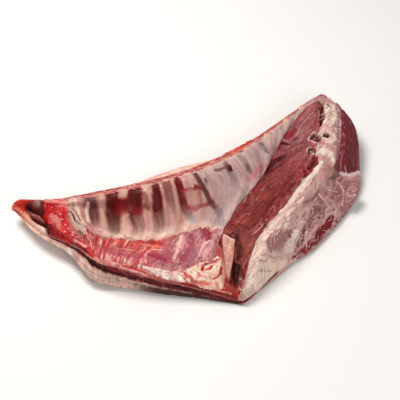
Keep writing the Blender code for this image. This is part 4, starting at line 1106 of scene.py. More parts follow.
def sheet(name, grid_along, grid_across, lift, thickness, paint, tuck=0.6):
    """A sheet that lies on the meat: places in a grid, its clearance and thickness, and its own paint."""
    n, m = grid_along.shape
    along, across = grid_along.ravel(), grid_across.ravel()
    ground, _ = surface(along, across)
    meat = Meat(along, across, "a04a48")
    paint(meat)
    meat.speckle()
    ground = ground.reshape(n, m, 3)
    upper = ground.copy()
    upper[:, :, 2] += lift + thickness + meat.rise.reshape(n, m) * np.minimum(thickness / 1.2, 1.0)
    keep = np.unique(np.linspace(1, m - 2, 9).astype(int))[::-1]
    lower = ground[:, keep].copy()
    lower[:, :, 2] += np.broadcast_to(lift - tuck, (n, m))[:, keep]
    rings = np.concatenate([upper, lower], 1)
    colour = meat.colour.reshape(n, m, 3)
    colours = np.concatenate([colour, colour[:, keep]], 1)
    wets = np.concatenate([meat.wet.reshape(n, m), meat.wet.reshape(n, m)[:, keep]], 1)
    return loft(name, rings, colours, wets)


def sheet_grid(first, last, steps, count, ragged=(0.0, 0.0), seed=300):
    """Places in a grid between two border curves, with its share across and how far it is from its ends."""
    shares = np.linspace(0.0, 1.0, steps)
    borders = [spline(np.linspace(0, 1, len(border)), border, shares) for border in (first, last)]
    for border, amount, k in zip(borders, ragged, (0, 1)):
        border[:, 1] += amount * grain(shares * steps / 7.0, shares * 0, 1.0, seed + k)
    t = np.linspace(0.0, 1.0, count)[None, :]
    along, across = (borders[0][:, k, None] * (1 - t) + borders[1][:, k, None] * t for k in (0, 1))
    return along, across, np.broadcast_to(t, along.shape), np.broadcast_to(shares[:, None], along.shape)


def rounded(share, ends, edge, close):
    """Thickness share of a pad: rounded off across it and tapering over its ends."""
    side = np.sqrt(np.clip(1 - np.abs(2 * share - 1) ** edge, 0, 1))
    return side * ease(ends / close) * ease((1 - ends) / close)


# ------------------------------------------------------------------ the sheets and pads


def inner_chest_muscle():
    """The streaked muscle on the floor of the chest: torn red near the neck, mauve toward the belly."""
    lower = ((0.9, 1.8), (2, 0.25), (3.1, 0.3), (4.5, 0.3), (5.7, 0.65), (6.8, 0.9), (7.7, 1.15),
             (8.8, 1.4), (9.7, 1.55))
    upper = ((0.8, 2.15), (1.7, 2.35), (2.5, 2.45), (3.5, 2.55), (4.5, 2.55), (5.2, 2.7), (6, 2.8),
             (6.8, 2.8), (8.4, 2.5))
    along, across, share, ends = sheet_grid(lower, upper, 250, 76, (0.0, 0.16), 301)
    body = rounded(share, ends, 3.0, 0.05)

    def paint(meat):
        fibre = grain(meat.along * 22.0, meat.across * 2.2, 2.6, 305)
        fine = grain(meat.along * 44.0, meat.across * 4.0, 2.6, 306)
        left = meat.band(0.5, 5.0, 0.5)
        top = ease((share.ravel() - 0.55) / 0.3)
        meat.lay("ca7d7a", np.ones(len(fibre)))
        meat.lay("b85a66", meat.blots(10, 309, -1.8) * 0.45)
        meat.lay("d58f8c", meat.blots(8, 307, 1.8) * 0.6)
        meat.lay("bb3a3c", left * ease(fibre * 2.4 + 0.1) * (0.45 + 0.5 * top))
        meat.lay("e6623f", left * top * meat.blots(6, 311, 2.4, -0.1) * ease(fibre * 2 + 0.3) * 0.85)
        meat.lay("ecc0ae", left * ease(-fibre * 2.4 - 0.2) * (0.35 + 0.6 * top))
        meat.lay("a52226", meat.band(0.5, 1.7, 0.4) * ease(fine * 2.4) * 0.8)
        meat.lay("bd6076", left * ridge(share.ravel() - 0.38, 0.22) * 0.4)
        meat.lay("e9bdb0", left * ease((0.5 - share.ravel()) / 0.2) * ease(-fibre * 2 + 0.3) * 0.8)
        right = meat.band(5.4, 9.6, 0.7)
        meat.lay("bf8688", right * 0.85)
        meat.lay("a8606a", right * ease(meat.fibres(70, 12, 5, 313) * 2.2) * 0.6)
        meat.lay("9c4a58", right * ease(-meat.fibres(64, 16, 6, 314) * 2.6 - 0.3) * 0.7)
        meat.lay("dcb4b0", right * ease(meat.fibres(66, 18, 4.5, 316) * 3.0 - 0.7) * 0.75)
        meat.lay("e2bebb", right * meat.threads(66, 16, 2.2, 315) * 0.7)
        meat.strokes((
            ("b25a70", 0.55, 0, (5, 8, 5), 0.9, 0.7, ((2.9, 1.1), (3.9, 1.15), (4.7, 1.25))),
            ("b34468", 0.95, 1.6, (6, 13, 15, 12), 0.4, 0.15,
             ((4.7, 1.6), (5.1, 1.6), (5.6, 1.5), (6.1, 1.45))),
            ("a54a6c", 0.6, 0.3, (4, 9, 7), 0.9, 0.6, ((5.6, 1.4), (5.9, 1.45), (6.2, 1.4))),
            ("cf6482", 0.7, 0.2, (3, 5, 3), 0.7, 0.4, ((4.8, 1.65), (5, 1.7), (5.3, 1.65))),
            ("eab9b0", 0.85, 0.8, (2, 2.4, 2, 1.4), 0.5, 0.4,
             ((5.1, 1), (4.8, 1.35), (4.6, 1.9), (5, 2), (5.7, 1.95))),
            ("e88f6c", 0.65, 0.3, (1.0, 3.6, 1.6), 0.9, 1.0, ((3.9, 2.25), (4.4, 2.25), (5, 2.2))),
            ("e9b79c", 0.8, 0.2, (2, 3, 2), 0.7, 0.6, ((3, 1.75), (3.5, 1.8), (3.9, 1.8))),
            ("b53c40", 0.8, 0, (4, 5, 4), 0.6, 0.7, ((3.8, 2.45), (4.6, 2.4), (5.4, 2.25))),
            ("c4747c", 0.8, 0.4, (9, 10, 8), 0.5, 0.4, ((5.1, 2.55), (5.6, 1.95), (6.3, 1.4))),
            ("e6c0ba", 0.9, 0.9, (4, 7, 4, 3), 0.6, 0.9,
             ((5.8, 2.6), (6.1, 2.25), (6.3, 1.9), (6.5, 1.45))),
            ("dfa6aa", 0.8, 0.6, (1.5, 4, 2), 0.6, 0.9, ((6, 2.6), (6.3, 2.3), (6.5, 2.0))),
            ("9a3a48", 0.8, -0.4, (5, 9, 6), 0.6, 0.6, ((6.6, 2.8), (7.3, 2.55), (7.8, 2.35))),
            ("a85868", 0.75, 0, (6, 8, 6), 0.6, 0.5, ((6.4, 2.55), (6.9, 2.2), (7.1, 1.8))),
            ("b27c8c", 0.6, 0, (7, 9), 0.7, 0.8, ((7.5, 2), (7.4, 1.55))),
            ("e4c4be", 0.85, 0.8, (1.0, 3.4, 2.4, 1.0), 0.7, 0.9,
             ((8.3, 2.25), (7.9, 2.15), (8, 1.85), (7.9, 1.6))),
            ("dcb0ae", 0.8, 0.6, (1.4, 2.0, 1.2), 0.5, 0.4, ((8.6, 2.05), (8.6, 1.85), (8.7, 1.65))),
            ("d3989a", 0.7, 0.4, (1.4, 1.6), 0.6, 0.4, ((7.6, 2.65), (8.1, 2.3))),
            ("9f2f34", 0.8, -0.4, (4, 4, 3), 0.6, 0.5, ((8.6, 2.35), (9.4, 2), (9.8, 1.7))),
        ))
        meat.rise += fibre * 0.9 * left + meat.grain(7, 317) * 0.8
        meat.rise += meat.fibres(68, 12, 2.6, 319) * 0.5 * right

    piece = sheet("inner_chest_muscle_sheet", along, across, -0.3, 2.9 * body, paint, 0.8)
    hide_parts("inner_chest_muscle")
    return piece, "lean_meat"


def breast_fat():
    """The strip of cream fat between that muscle and the breastbone."""
    lower = ((2.9, 0.45), (3.5, 0.45), (4.2, 0.4), (4.9, 0.45), (5.4, 0.2), (6.1, 0.05), (6.9, 0.05),
             (7.8, 0.25))
    upper = ((2.7, 0.65), (3.4, 1.05), (4.2, 1.05), (4.8, 1.05), (5.3, 0.95), (6, 1.05), (6.7, 1.15),
             (7.7, 1.35))
    along, across, share, ends = sheet_grid(lower, upper, 210, 44, (0.05, 0.06), 321)

    def paint(meat):
        u = share.ravel()
        meat.lay("e6cfc4", np.ones(len(meat.x)))
        meat.lay("f6e9df", meat.blots(9, 325, 1.8, 0.3) * 0.9)
        meat.lay("d6aca2", meat.blots(9, 327, -2.0, -0.2) * 0.6)
        meat.lay("dba59c", ease(1 - (1 - u) / 0.25) * 0.6)
        edge = ease(1 - u / 0.35)
        meat.lay("d68484", edge * meat.blots(5, 329, 1.8, 0.1) * 0.8)
        meat.lay("c4545a", edge * meat.flecks(4.2, 331, 0.45) * 0.55)
        meat.lay("d3a09a", meat.band(4.6, 9, 0.8) * meat.blots(5, 333, 2) * 0.7)
        meat.lay("c98a82", meat.threads(-20, 14, 3, 334, 0.1) * 0.5)
        meat.rise += meat.grain(10, 335) * 0.7 + meat.grain(3, 337) * 0.2

    body = rounded(share, ends, 2.6, 0.16)
    piece = sheet("breast_fat_strip", along, across, -0.3, 2.2 * body, paint, 0.8)
    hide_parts("breast_fat")
    return piece, "outer_fat"


def belly_fat():
    """Lumps of cream fat at the near corner, with two bloody grooves."""
    lower = ((7.2, 0.65), (7.5, 0.35), (8.2, 0.2), (8.9, 0.1), (9.7, 0.2), (10.4, 0.55), (10.6, 1.15))
    upper = ((7.2, 1.15), (7.5, 1.3), (7.9, 1.5), (8.4, 1.65), (9, 1.7), (9.5, 1.8), (10.3, 1.6))
    along, across, share, ends = sheet_grid(lower, upper, 140, 64, (0.16, 0.14), 341)

    def paint(meat):
        lump = meat.grain(6.5, 343)
        valley = ridge(meat.grain(6.0, 344, 2), 0.16)
        meat.lay("e6c8b8", np.ones(len(meat.x)))
        # painted highlights on the tops of the lumps
        meat.lay("f3e2d4", ease(lump * 2.0 + 0.1) * 0.85)
        meat.lay("e6ac9c", ease(-lump * 2.0 - 0.1) * 0.6)
        meat.lay("dc9482", valley * 0.4)
        meat.lay("d4645a", meat.flecks(4.6, 345, 0.34) * 0.5)
        meat.lay("d06a62", ease(0.22 - share.ravel() + 0.2 * lump) * 0.6)
        meat.lay("e0a39a", ease((ends.ravel() - 0.9) / 0.1) * 0.7)
        meat.rise += lump * 1.5 + meat.grain(3.0, 347) * 0.6 - valley * 0.5
        meat.strokes((
            ("b5161b", 0.98, -1.2, (3.0, 4.0, 4.0, 3.4, 2.0), 0.4, 0.4,
             ((8.6, 1.3), (8.6, 1.45), (8.9, 1.55), (9.3, 1.65), (9.8, 1.75))),
            ("c22a27", 0.95, -0.8, (2.0, 3.0, 2.6, 1.4), 0.4, 0.4,
             ((8.8, 1.3), (9.2, 1.4), (9.3, 1.55), (9.7, 1.65))),
            ("f3dcc6", 0.9, 1.4, (2.0, 3.0, 2.0), 0.5, 0.3, ((8.8, 1.4), (9.1, 1.5), (9.5, 1.6))),
            ("c8484a", 0.7, -0.5, (2.5, 4.0, 1.6), 0.7, 0.9, ((7.4, 1.05), (7.7, 0.7), (8, 0.55))),
            ("cf6058", 0.65, -0.4, (1.0, 3.0, 1.4), 0.8, 1.0, ((7.9, 0.4), (8.5, 0.4), (9.4, 0.5))),
            ("cc625a", 0.6, -0.3, (1.0, 2.6, 1.0), 0.8, 1.0, ((8.1, 1.2), (8.5, 1.05), (9, 1.05))),
            ("a8282a", 0.8, -0.4, (2.0, 3.0), 0.6, 0.6, ((9.6, 1.05), (10, 1.25), (10.1, 1.55))),
        ))

    body = rounded(share, ends, 2.0, 0.14)
    piece = sheet("belly_fat_lumps", along, across, -0.3, 4.0 * body, paint, 0.8)
    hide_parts("belly_fat")
    return piece, "outer_fat"


def diaphragm():
    """The dark-red muscle sheet, attached along the flank and free along the ribs."""
    along, across, share, ends = sheet_grid(FREE_BORDER, FIXED_BORDER, 240, 140)
    w, s = share.ravel(), ends.ravel()
    along = along + (0.10 * grain(ends * 34, ends * 0, 1.0, 351) * (1 - share) ** 4)
    along = along + 0.22 * grain(ends * 26, ends * 0, 1.0, 352) * share**6
    rim = np.sqrt(np.clip(1 - np.clip(1 - share / 0.05, 0, 1) ** 2, 0, 1))
    body = rim * (0.2 + 0.8 * ease((1.0 - share) / 0.2))
    body *= 0.3 + 0.7 * ease(ends / 0.04) * ease((1 - ends) / 0.04)

    def paint(meat):
        meat.lay("84342f", np.ones(len(s)))
        # painted sheen: lighter blots over the muscle
        meat.lay("a04c45", meat.blots(20, 353, 2.0, 0.1) * 0.75)
        meat.lay("6e2223", meat.blots(16, 355, -2.0) * 0.6)
        hatch = meat.fibres(52, 9, 1.8, 357)
        near_edge = ease((0.5 - w) / 0.4) * ease((0.6 - s) / 0.3)
        meat.lay("b4605a", ease(hatch * 2.4 - 0.3) * (0.10 + 0.7 * near_edge))
        meat.lay("5c181a", ease(-hatch * 2.4 - 0.4) * (0.12 + 0.5 * near_edge))
        fold = meat.fibres(48, 26, 6, 359)
        # painted sheen along the folds' crests
        meat.lay("96504c", ease(fold * 2.0 - 0.3) * 0.5)
        top = ease((s - 0.5) / 0.25)
        meat.lay("a5686c", top * 0.9)
        meat.lay("c49392", top * ease(meat.fibres(40, 16, 4, 361) * 2.4 - 0.2) * 0.65)
        meat.lay("723438", top * ease(-meat.fibres(40, 16, 4, 363) * 2.4 - 0.2) * 0.5)
        # painted shade along the free border
        meat.lay("64201e", ease(1 - w / 0.05) * ease((0.78 - s) / 0.2) * 0.6)
        meat.lay("9c2f2c", ridge(w - 0.08, 0.04) * 0.5)
        far = ease((w - 0.86 + 0.06 * meat.grain(6, 365)) / 0.1)
        meat.lay("b3605e", far * 0.7)
        meat.lay("d8a8a0", far * meat.blots(3.4, 367, 2.4, -0.1) * 0.75)
        meat.lay("8a4a45", far * ridge(s - 0.42, 0.25) * 0.55)
        meat.lay("a4665c", ease((0.3 - s) / 0.15) * ease((w - 0.2) / 0.3) * 0.6)
        meat.lay("a04a48", ease((w - 0.62) / 0.2) * meat.threads(55, 14, 3, 369) * 0.6)
        meat.rise += meat.grain(18, 371) * 1.8 + fold * 0.9 + meat.grain(6, 373) * 0.5
        meat.rise += hatch * 0.35 + far * meat.grain(3.4, 367) * 0.8
        meat.strokes((
            ("551a1e", 0.85, -1.2, (3, 5, 4), 0.5, 0.5, ((9.9, 3.9), (11.2, 3.9), (12.5, 3.9))),
            ("6a2226", 0.8, -1.0, (2, 4, 3), 0.5, 0.5, ((9.6, 3.8), (11.1, 3.75), (12.7, 3.75))),
            ("5d1c20", 0.85, -1.0, (2, 4, 3), 0.5, 0.6, ((11.1, 4.3), (12.4, 4.15), (13.1, 4.2))),
            ("a93f4c", 0.9, 1.2, (4, 6, 5, 3), 0.4, 0.6,
             ((10.7, 4.65), (11.3, 4.45), (12, 4.35), (12.3, 4.4))),
            ("d9a8a4", 0.8, 0.8, (1.2, 1.6, 1.4, 1), 0.5, 0.5,
             ((10.9, 4.45), (11.5, 4.3), (12.6, 4.15), (13.1, 4.2))),
            ("d0a09c", 0.9, 0.7, (0.8, 1.2, 1.2, 0.8), 0.4, 0.3,
             ((12.8, 4.25), (12.9, 4.4), (13.3, 4.55), (13.9, 4.7))),
            ("b5777a", 0.7, 0.4, (4, 5, 4), 0.6, 0.5, ((12.2, 4.55), (12.8, 4.65), (13, 4.85))),
            ("b07276", 0.7, 0.4, (3, 4, 3), 0.6, 0.6, ((13.7, 4.3), (14, 4.45), (14.5, 4.6))),
            ("b5706a", 0.7, 0.5, (0.8, 1.4, 0.8), 0.6, 0.8, ((12.3, 3.95), (13, 4), (13.6, 4.05))),
            ("b5706a", 0.7, 0.5, (0.8, 1.2, 0.8), 0.6, 0.8, ((13.4, 3.65), (13.4, 3.8), (13.8, 3.9))),
            ("b7696a", 0.7, 0.6, (2, 3, 2), 0.6, 0.6, ((14, 3.65), (14.2, 3.8), (14.3, 3.9))),
            ("9b4a44", 0.7, 0.4, (6, 8, 6), 0.6, 0.4, ((9.3, 3.3), (10.3, 3.45), (12.2, 3.45))),
            ("a95a52", 0.7, 0.4, (1.4, 1.8, 1), 0.6, 0.8, ((12.2, 3.35), (13, 3.4), (13.5, 3.5))),
            ("7a2023", 0.8, -0.6, (4, 6, 4), 0.5, 0.5, ((13.4, 3.1), (13.1, 2.95), (12.7, 2.7))),
            ("b4706a", 0.7, 0.5, (2, 3, 2), 0.6, 1.0, ((12.9, 2.6), (12.5, 2.45), (12, 2.3))),
            ("dfb0a8", 0.8, 0.6, (1.4, 2.2, 1.4), 0.6, 1.0, ((13.3, 2.45), (13.1, 2.35), (12.3, 2.3))),
            ("4f1513", 0.75, -0.8, (4, 7, 6), 0.6, 0.6, ((10.2, 2.35), (11, 2.1), (11.6, 1.85))),
        ))
        meat.strokes(TORN_EDGE)
        paint_holes(meat)

    piece = sheet("diaphragm_sheet", along, across, 0.3, 4.6 * body, paint, 0.6)
    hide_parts("diaphragm")
    return piece, "lean_meat"


def tendon_flap():
    """The pale strip that stands at the diaphragm's near end, hollow across."""
    left = ((8.8, 2.35), (9.6, 2), (10.2, 1.7), (10.5, 1.4), (10.9, 1.1))
    right = ((10.4, 2.25), (10.8, 2), (11, 1.75), (11, 1.4), (11, 1.05))
    along, across, share, ends = sheet_grid(left, right, 90, 30, (0.03, 0.03), 371)

    def paint(meat):
        u, v = share.ravel(), ends.ravel()
        meat.lay("cf9f92", np.ones(len(u)))
        meat.lay("dfbaab", ease(grain(u * 5, v * 3, 1.0, 373) * 2.2 + 0.1) * 0.7)
        meat.lay("bb8577", ease(grain(u * 9, v * 2, 1.0, 375) * 2.2 - 0.3) * 0.5)
        meat.lay("edd2c4", ease(1 - v / 0.08) * 0.8)
        # painted shade down the flap's right side
        meat.lay("8a2c2a", ease((u - 0.9) / 0.08) * 0.9)
        meat.lay("9c5a52", ease((0.08 - u) / 0.08) * 0.7)
        meat.lay("b5534c", ease((v - 0.85) / 0.12) * 0.7)
        meat.rise += 1.2 * (2 * u - 1) ** 2 + grain(u * 5, v * 8, 1.0, 377) * 0.8

    body = rounded(share, 0.5, 4.0, 0.1)
    piece = sheet("tendon_flap_strip", along, across, 3.4, 2.0 * body, paint, 0.4)
    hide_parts("tendon_flap")
    return piece, "tendon"


def fascia_tab():
    """The loose pale corner that stands out past the flank's edge, slightly curled."""
    root = skin(np.array([18.05]), np.array([3.05]))[0]
    reach, side = np.meshgrid(np.linspace(0.0, 1.0, 40), np.linspace(-1.0, 1.0, 30), indexing="ij")
    half = np.interp(reach, (0, 0.35, 0.75, 1), (13.0, 12.0, 7.0, 1.2))
    half = half * (1 + 0.1 * grain(reach * 8, side * 2, 1.0, 385))
    x = root[0] - 3.0 + 17.0 * reach + 1.2 * grain(reach * 3, side * 3, 1.0, 387)
    y = root[1] + half * side + 6.0 * reach
    z = root[2] + 2.4 + 1.6 * reach - 1.6 * side**2 * (1 - reach) + 0.9 * grain(x, y, 7.0, 381)
    thick = 1.3 * np.sqrt(np.clip(1 - np.abs(side) ** 6, 0.02, 1)) * (1 - 0.5 * reach)
    upper, lower = np.stack([x, y, z + thick], -1), np.stack([x, y, z], -1)[:, ::-1]
    rings = np.concatenate([upper, lower], 1)
    tint = np.tile(tone("b88e8d"), rings.shape[:2] + (1,))
    edge = np.concatenate([side, side[:, ::-1]], 1)
    layers = (
        ("9a696a", ease(grain(rings[..., 0], rings[..., 1], 5.0, 383) * 1.8)),
        ("d9bcb4", ease((np.abs(edge) - 0.85) / 0.12)),
        ("ecd8ce", ease(grain(rings[..., 0], rings[..., 1] * 2, 3.0, 389) * 2 - 0.3)),
    )
    for code, share in layers:
        tint = tint + (tone(code) - tint) * (0.75 * share)[..., None]
    piece = loft("fascia_tab_corner", rings, tint, np.full(rings.shape[:2], 0.4))
    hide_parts("fascia_tab")
    return piece, "flank_fascia"


# ------------------------------------------------------------------ materials


def add_node(tree, kind, settings=None, links=None):
    """A node with its settings, and with its inputs set to values or joined to other sockets."""
    node = tree.nodes.new(kind)
    for key, value in (settings or {}).items():
        setattr(node, key, value)
    for key, value in (links or {}).items():
        if isinstance(value, bpy.types.NodeSocket):
            tree.links.new(value, node.inputs[key])
        else:
            node.inputs[key].default_value = value
    return node


def noise(tree, place, scale, detail, roughness=0.5):
    """Soft noise around 0.5 with about `scale` lumps in a metre."""
    return add_node(tree, "ShaderNodeTexNoise", {"noise_dimensions": "3D"}, {
        "Vector": place, "Scale": scale, "Detail": detail, "Roughness": roughness}).outputs["Fac"]


def spread(tree, value, start, end, low, high):
    """The value stretched so that `start` gives `low` and `end` gives `high`."""
    return add_node(tree, "ShaderNodeMapRange", None, {
        "Value": value, "From Min": start, "From Max": end, "To Min": low, "To Max": high}).outputs["Result"]


def new_material(name):
    """An empty material, its node tree and the object's own coordinates."""
    material = bpy.data.materials.new(name)
    material.use_nodes = True
    tree = material.node_tree
    tree.nodes.clear()
    return material, tree, add_node(tree, "ShaderNodeTexCoord").outputs["Object"]


# Spots of moist film in a metre.
FILM_SPOTS = 160.0


def meat_material(name, mottle_mm, mottle, bump_mm, bump, roughness, gloss, flesh, radius_mm):
    """Raw tissue: its own colour, finely mottled, with a film of moisture where it is wet."""
    material, tree, place = new_material(name)
    tissue = add_node(tree, "ShaderNodeAttribute", {"attribute_name": "tissue"}).outputs["Color"]
    moist = add_node(tree, "ShaderNodeAttribute", {"attribute_name": "wet"}).outputs["Fac"]
    fine = noise(tree, place, 1000.0 / mottle_mm, 4.0, 0.6)
    shade = spread(tree, fine, 0.25, 0.75, 1 - mottle, 1 + mottle)
    colour = add_node(tree, "ShaderNodeVectorMath", {"operation": "SCALE"}, {
        0: tissue, "Scale": shade}).outputs["Vector"]
    ripple = noise(tree, place, 1000.0 / bump_mm, 5.0, 0.65)
    normal = add_node(tree, "ShaderNodeBump", None, {
        "Height": ripple, "Strength": bump, "Distance": bump_mm * MM * 0.35}).outputs["Normal"]
    rough = spread(tree, ripple, 0.3, 0.7, roughness - 0.08, roughness + 0.12)
    # a wet film gathers in spots about 6 mm wide: it shows as short bright glints on the dark flesh
    spots = spread(tree, noise(tree, place, FILM_SPOTS, 2.0), 0.52, 0.66, 0.0, gloss)
    film = add_node(tree, "ShaderNodeMath", {"operation": "MULTIPLY"}, {
        0: spots, 1: moist}).outputs["Value"]
    shader = add_node(tree, "ShaderNodeBsdfPrincipled", None, {
        "Base Color": colour, "Roughness": rough, "Normal": normal, "Coat Weight": film,
        "Coat Roughness": 0.16, "Specular IOR Level": 0.28, "IOR": 1.38, "Subsurface Weight": flesh,
        "Subsurface Radius": (1.0, 0.35, 0.25), "Subsurface Scale": radius_mm * MM})
    add_node(tree, "ShaderNodeOutputMaterial", None, {"Surface": shader.outputs["BSDF"]})
    return material


# For each slot: the substance, its mottle's size in mm and strength, its ripple's size in mm and strength,
# its roughness, its moist film, and how much light it lets in and how deep in mm.
FINISHES = {
    # firm waxy fat: pale and soft-edged, because light sinks into it, and only faintly moist
    "outer_fat": ("raw_fat", 2.0, 0.14, 1.6, 0.45, 0.48, 0.3, 0.08, 2.0),
    # cut muscle: a close dark mottle of fibre ends under a film that glints
    "lean_meat": ("raw_lean_meat", 1.6, 0.26, 1.4, 0.50, 0.46, 0.8, 0.04, 1.5),
    # pleura, the thin smooth skin over the ribs: even and softly shining
    "rib_lining": ("pleura_over_ribs", 2.0, 0.09, 1.6, 0.40, 0.46, 0.5, 0.05, 2.0),
    # bone cut with a saw: fine-grained, matt and nearly dry
    "bone": ("sawn_bone", 1.2, 0.14, 1.0, 0.30, 0.55, 0.2, 0.06, 1.5),
    # spongy bone full of blood: coarse, wet and sparkling
    "red_marrow": ("blood_rich_spongy_bone", 1.4, 0.28, 1.5, 0.60, 0.42, 0.8, 0.04, 1.5),
    # fascia, a tough torn membrane: dull, with fine deep wrinkles
    "flank_fascia": ("fascia_membrane", 1.4, 0.18, 1.4, 0.60, 0.48, 0.4, 0.06, 2.0),
    # tendon: smooth, close and matt
    "tendon": ("tendon_strip", 1.6, 0.12, 1.5, 0.35, 0.46, 0.3, 0.08, 2.0),
}
MATERIALS = {slot: meat_material(*finish) for slot, finish in FINISHES.items()}


def finish_piece(piece, slot):
    """Gives a piece the material of its slot and the body that it rides on."""
    piece.data.materials.append(MATERIALS[slot])
    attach(piece, "root")


# Rib pitches between two rings of a block.
RING_STEP = 0.029


def build_blocks():
    """The outer fat and every cut block of the meat, each on its own solid."""
    piece = outer_fat()
    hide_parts("fat_cover")
    finish_piece(piece, "outer_fat")
    wide = (
        ("neck_muscle_cut", "neck_muscle", (-2.3, -0.7), (1.0, 5.7), 60, RING_STEP, {}, "lean_meat"),
        ("manubrium_split", "manubrium", (-0.7, 0.5), (0.0, 5.7), 130, RING_STEP, {"near": True},
         "red_marrow"),
        ("chest_wall_lining", "chest_wall", (0.5, 13.0), (1.0, 5.7), 165, RING_STEP, {}, "rib_lining"),
        ("flank_fascia_sheet", "flank", (13.0, 18.5), (0.0, 7.0), 300, 0.036, {"near": True, "far": True},
         "flank_fascia"),
        ("flank_lobe_muscle", "flank_lobe", (17.2, 18.5), (3.5, 7.0), 130, 0.03, {"far": True},
         "lean_meat"),
        ("sawn_rim_fat", "rim_fat", (-2.3, 13.0), (5.7, 7.0), 26, RING_STEP, {"far": True}, "outer_fat"),
    )
    for name, node, along, across, count, step, faces, slot in wide:
        piece = block(name, stations(*along, step), np.linspace(*across, count), **faces)
        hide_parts(node)
        finish_piece(piece, slot)
    for number in range(1, 7):
        first = 2 * number - 1.5
        last = 13.0 if number == 6 else 2 * number + 0.5
        alongs = stations(first, last, RING_STEP)
        piece = block(f"sternebra_{number}_split", alongs, np.linspace(0.0, 1.0, 24), near=True)
        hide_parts(f"sternebra_{number}")
        finish_piece(piece, "red_marrow")


def build_sheets():
    """The sheets and pads that lie on the blocks."""
    for make in (inner_chest_muscle, breast_fat, belly_fat, diaphragm, tendon_flap, fascia_tab):
        piece, slot = make()
        finish_piece(piece, slot)


def tube_tree(name, material):
    """An oval tube along each path: its points carry the swell of its width and its tissue colours."""
    tree = bpy.data.node_groups.new(name, "GeometryNodeTree")
    tree.interface.new_socket("Path", in_out="INPUT", socket_type="NodeSocketGeometry")
    for socket in ("Half Width", "Half Thickness"):
        tree.interface.new_socket(socket, in_out="INPUT", socket_type="NodeSocketFloat")
    tree.interface.new_socket("Sides", in_out="INPUT", socket_type="NodeSocketInt")
    tree.interface.new_socket("Tube", in_out="OUTPUT", socket_type="NodeSocketGeometry")
    given = add_node(tree, "NodeGroupInput").outputs
    path = add_node(tree, "GeometryNodeMeshToCurve", None, {"Mesh": given["Path"]}).outputs["Curve"]
    path = add_node(tree, "GeometryNodeSetCurveNormal", {"mode": "Z_UP"}, {"Curve": path}).outputs["Curve"]
    circle = add_node(tree, "GeometryNodeCurvePrimitiveCircle", None, {
        "Resolution": given["Sides"], "Radius": 1.0}).outputs["Curve"]
    oval_size = add_node(tree, "ShaderNodeCombineXYZ", None, {
        "X": given["Half Width"], "Y": given["Half Thickness"], "Z": 1.0}).outputs[0]
    oval = add_node(tree, "GeometryNodeTransform", None, {
        "Geometry": circle, "Scale": oval_size}).outputs["Geometry"]
    swell = add_node(tree, "GeometryNodeInputNamedAttribute", {"data_type": "FLOAT"}, {
        "Name": "swell"}).outputs["Attribute"]
    tube = add_node(tree, "GeometryNodeCurveToMesh", None, {
        "Curve": path, "Profile Curve": oval, "Scale": swell, "Fill Caps": True}).outputs["Mesh"]
    tube = add_node(tree, "GeometryNodeSetShadeSmooth", None, {"Geometry": tube}).outputs["Geometry"]
    tube = add_node(tree, "GeometryNodeRealizeInstances", None, {"Geometry": tube}).outputs["Geometry"]
    tube = add_node(tree, "GeometryNodeSetMaterial", None, {
        "Geometry": tube, "Material": material}).outputs["Geometry"]
    add_node(tree, "NodeGroupOutput", None, {"Tube": tube})
    return tree


def run_tree(name, paths, tree, inputs):
    """The plain mesh that a tube tree makes from paths, each of which is points, swell and colours."""
    start = bpy.data.meshes.new(name + "_paths")
    edges, first = [], 0
    for points, _, _ in paths:
        edges += [(first + k, first + k + 1) for k in range(len(points) - 1)]
        first += len(points)
    points, swell, colour = (np.concatenate([path[k] for path in paths]) for k in range(3))
    start.from_pydata(((points - BOX_MIDDLE) * MM).tolist(), edges, [])
    moist = np.full(len(points), 0.4, np.float32)
    start.attributes.new("swell", "FLOAT", "POINT").data.foreach_set("value", swell.astype(np.float32))
    start.attributes.new("wet", "FLOAT", "POINT").data.foreach_set("value", moist)
    start.attributes.new("tissue", "FLOAT_COLOR", "POINT").data.foreach_set("color", wet_tones(colour))
    seed = add_object(name + "_start", start)
    modifier = seed.modifiers.new("nodes", "NODES")
    modifier.node_group = tree
    for item in tree.interface.items_tree:
        if item.in_out == "INPUT" and item.name in inputs:
            modifier[item.identifier] = inputs[item.name]
    bpy.context.view_layer.update()
    mesh = bpy.data.meshes.new_from_object(seed.evaluated_get(bpy.context.evaluated_depsgraph_get()))
    seed.modifiers.remove(modifier)
    bpy.data.objects.remove(seed)
    mesh.name = name
    return add_object(name, mesh)


def rib_path(number):
    """The rib's middle line from its blind foot to its sawn end, closed in rings of bone and marrow."""
    foot = min(2.7 + 0.42 * max(number - 7.0, 0.0), 4.25)
    across = np.linspace(foot, 4.75, 14)
    along = np.full(len(across), float(number))
    middle = skin(along, across)
    sideways = skin(along + 0.05, across) - skin(along - 0.05, across)
    lengthways = skin(along, across + 0.05) - skin(along, across - 0.05)
    outward = unit(np.cross(sideways, lengthways))
    middle = middle - outward * (5.6 - 0.2 * (5.0 - across))[:, None]
    at = np.array([float(number)])
    sawn = skin(at, np.array([5.0]))[0] * 0.64 + skin(at, np.array([6.0]))[0] * 0.36
    way = (sawn - middle[-1]) / np.linalg.norm(sawn - middle[-1])
    shaft = [middle[-1] + (sawn - middle[-1]) * share for share in (0.25, 0.5, 0.75)]
    end = [sawn + way * (0.6 + 0.02 * k) for k in range(6)]
    points = np.concatenate([middle, shaft, end])
    swell = np.ones(len(points))
    swell[0] = 0.8
    swell[-6:] = (1.0, 0.9, 0.72, 0.5, 0.3, 0.05)
    colour = np.tile(tone("dcb9a4"), (len(points), 1))
    # hard bone outside, then the red marrow in its middle
    colour[-6:] = [tone(code) for code in ("d9a795", "e6c3b0", "c9877a", "a8453f", "8f2f2c", "9a3a34")]
    return points, swell, colour


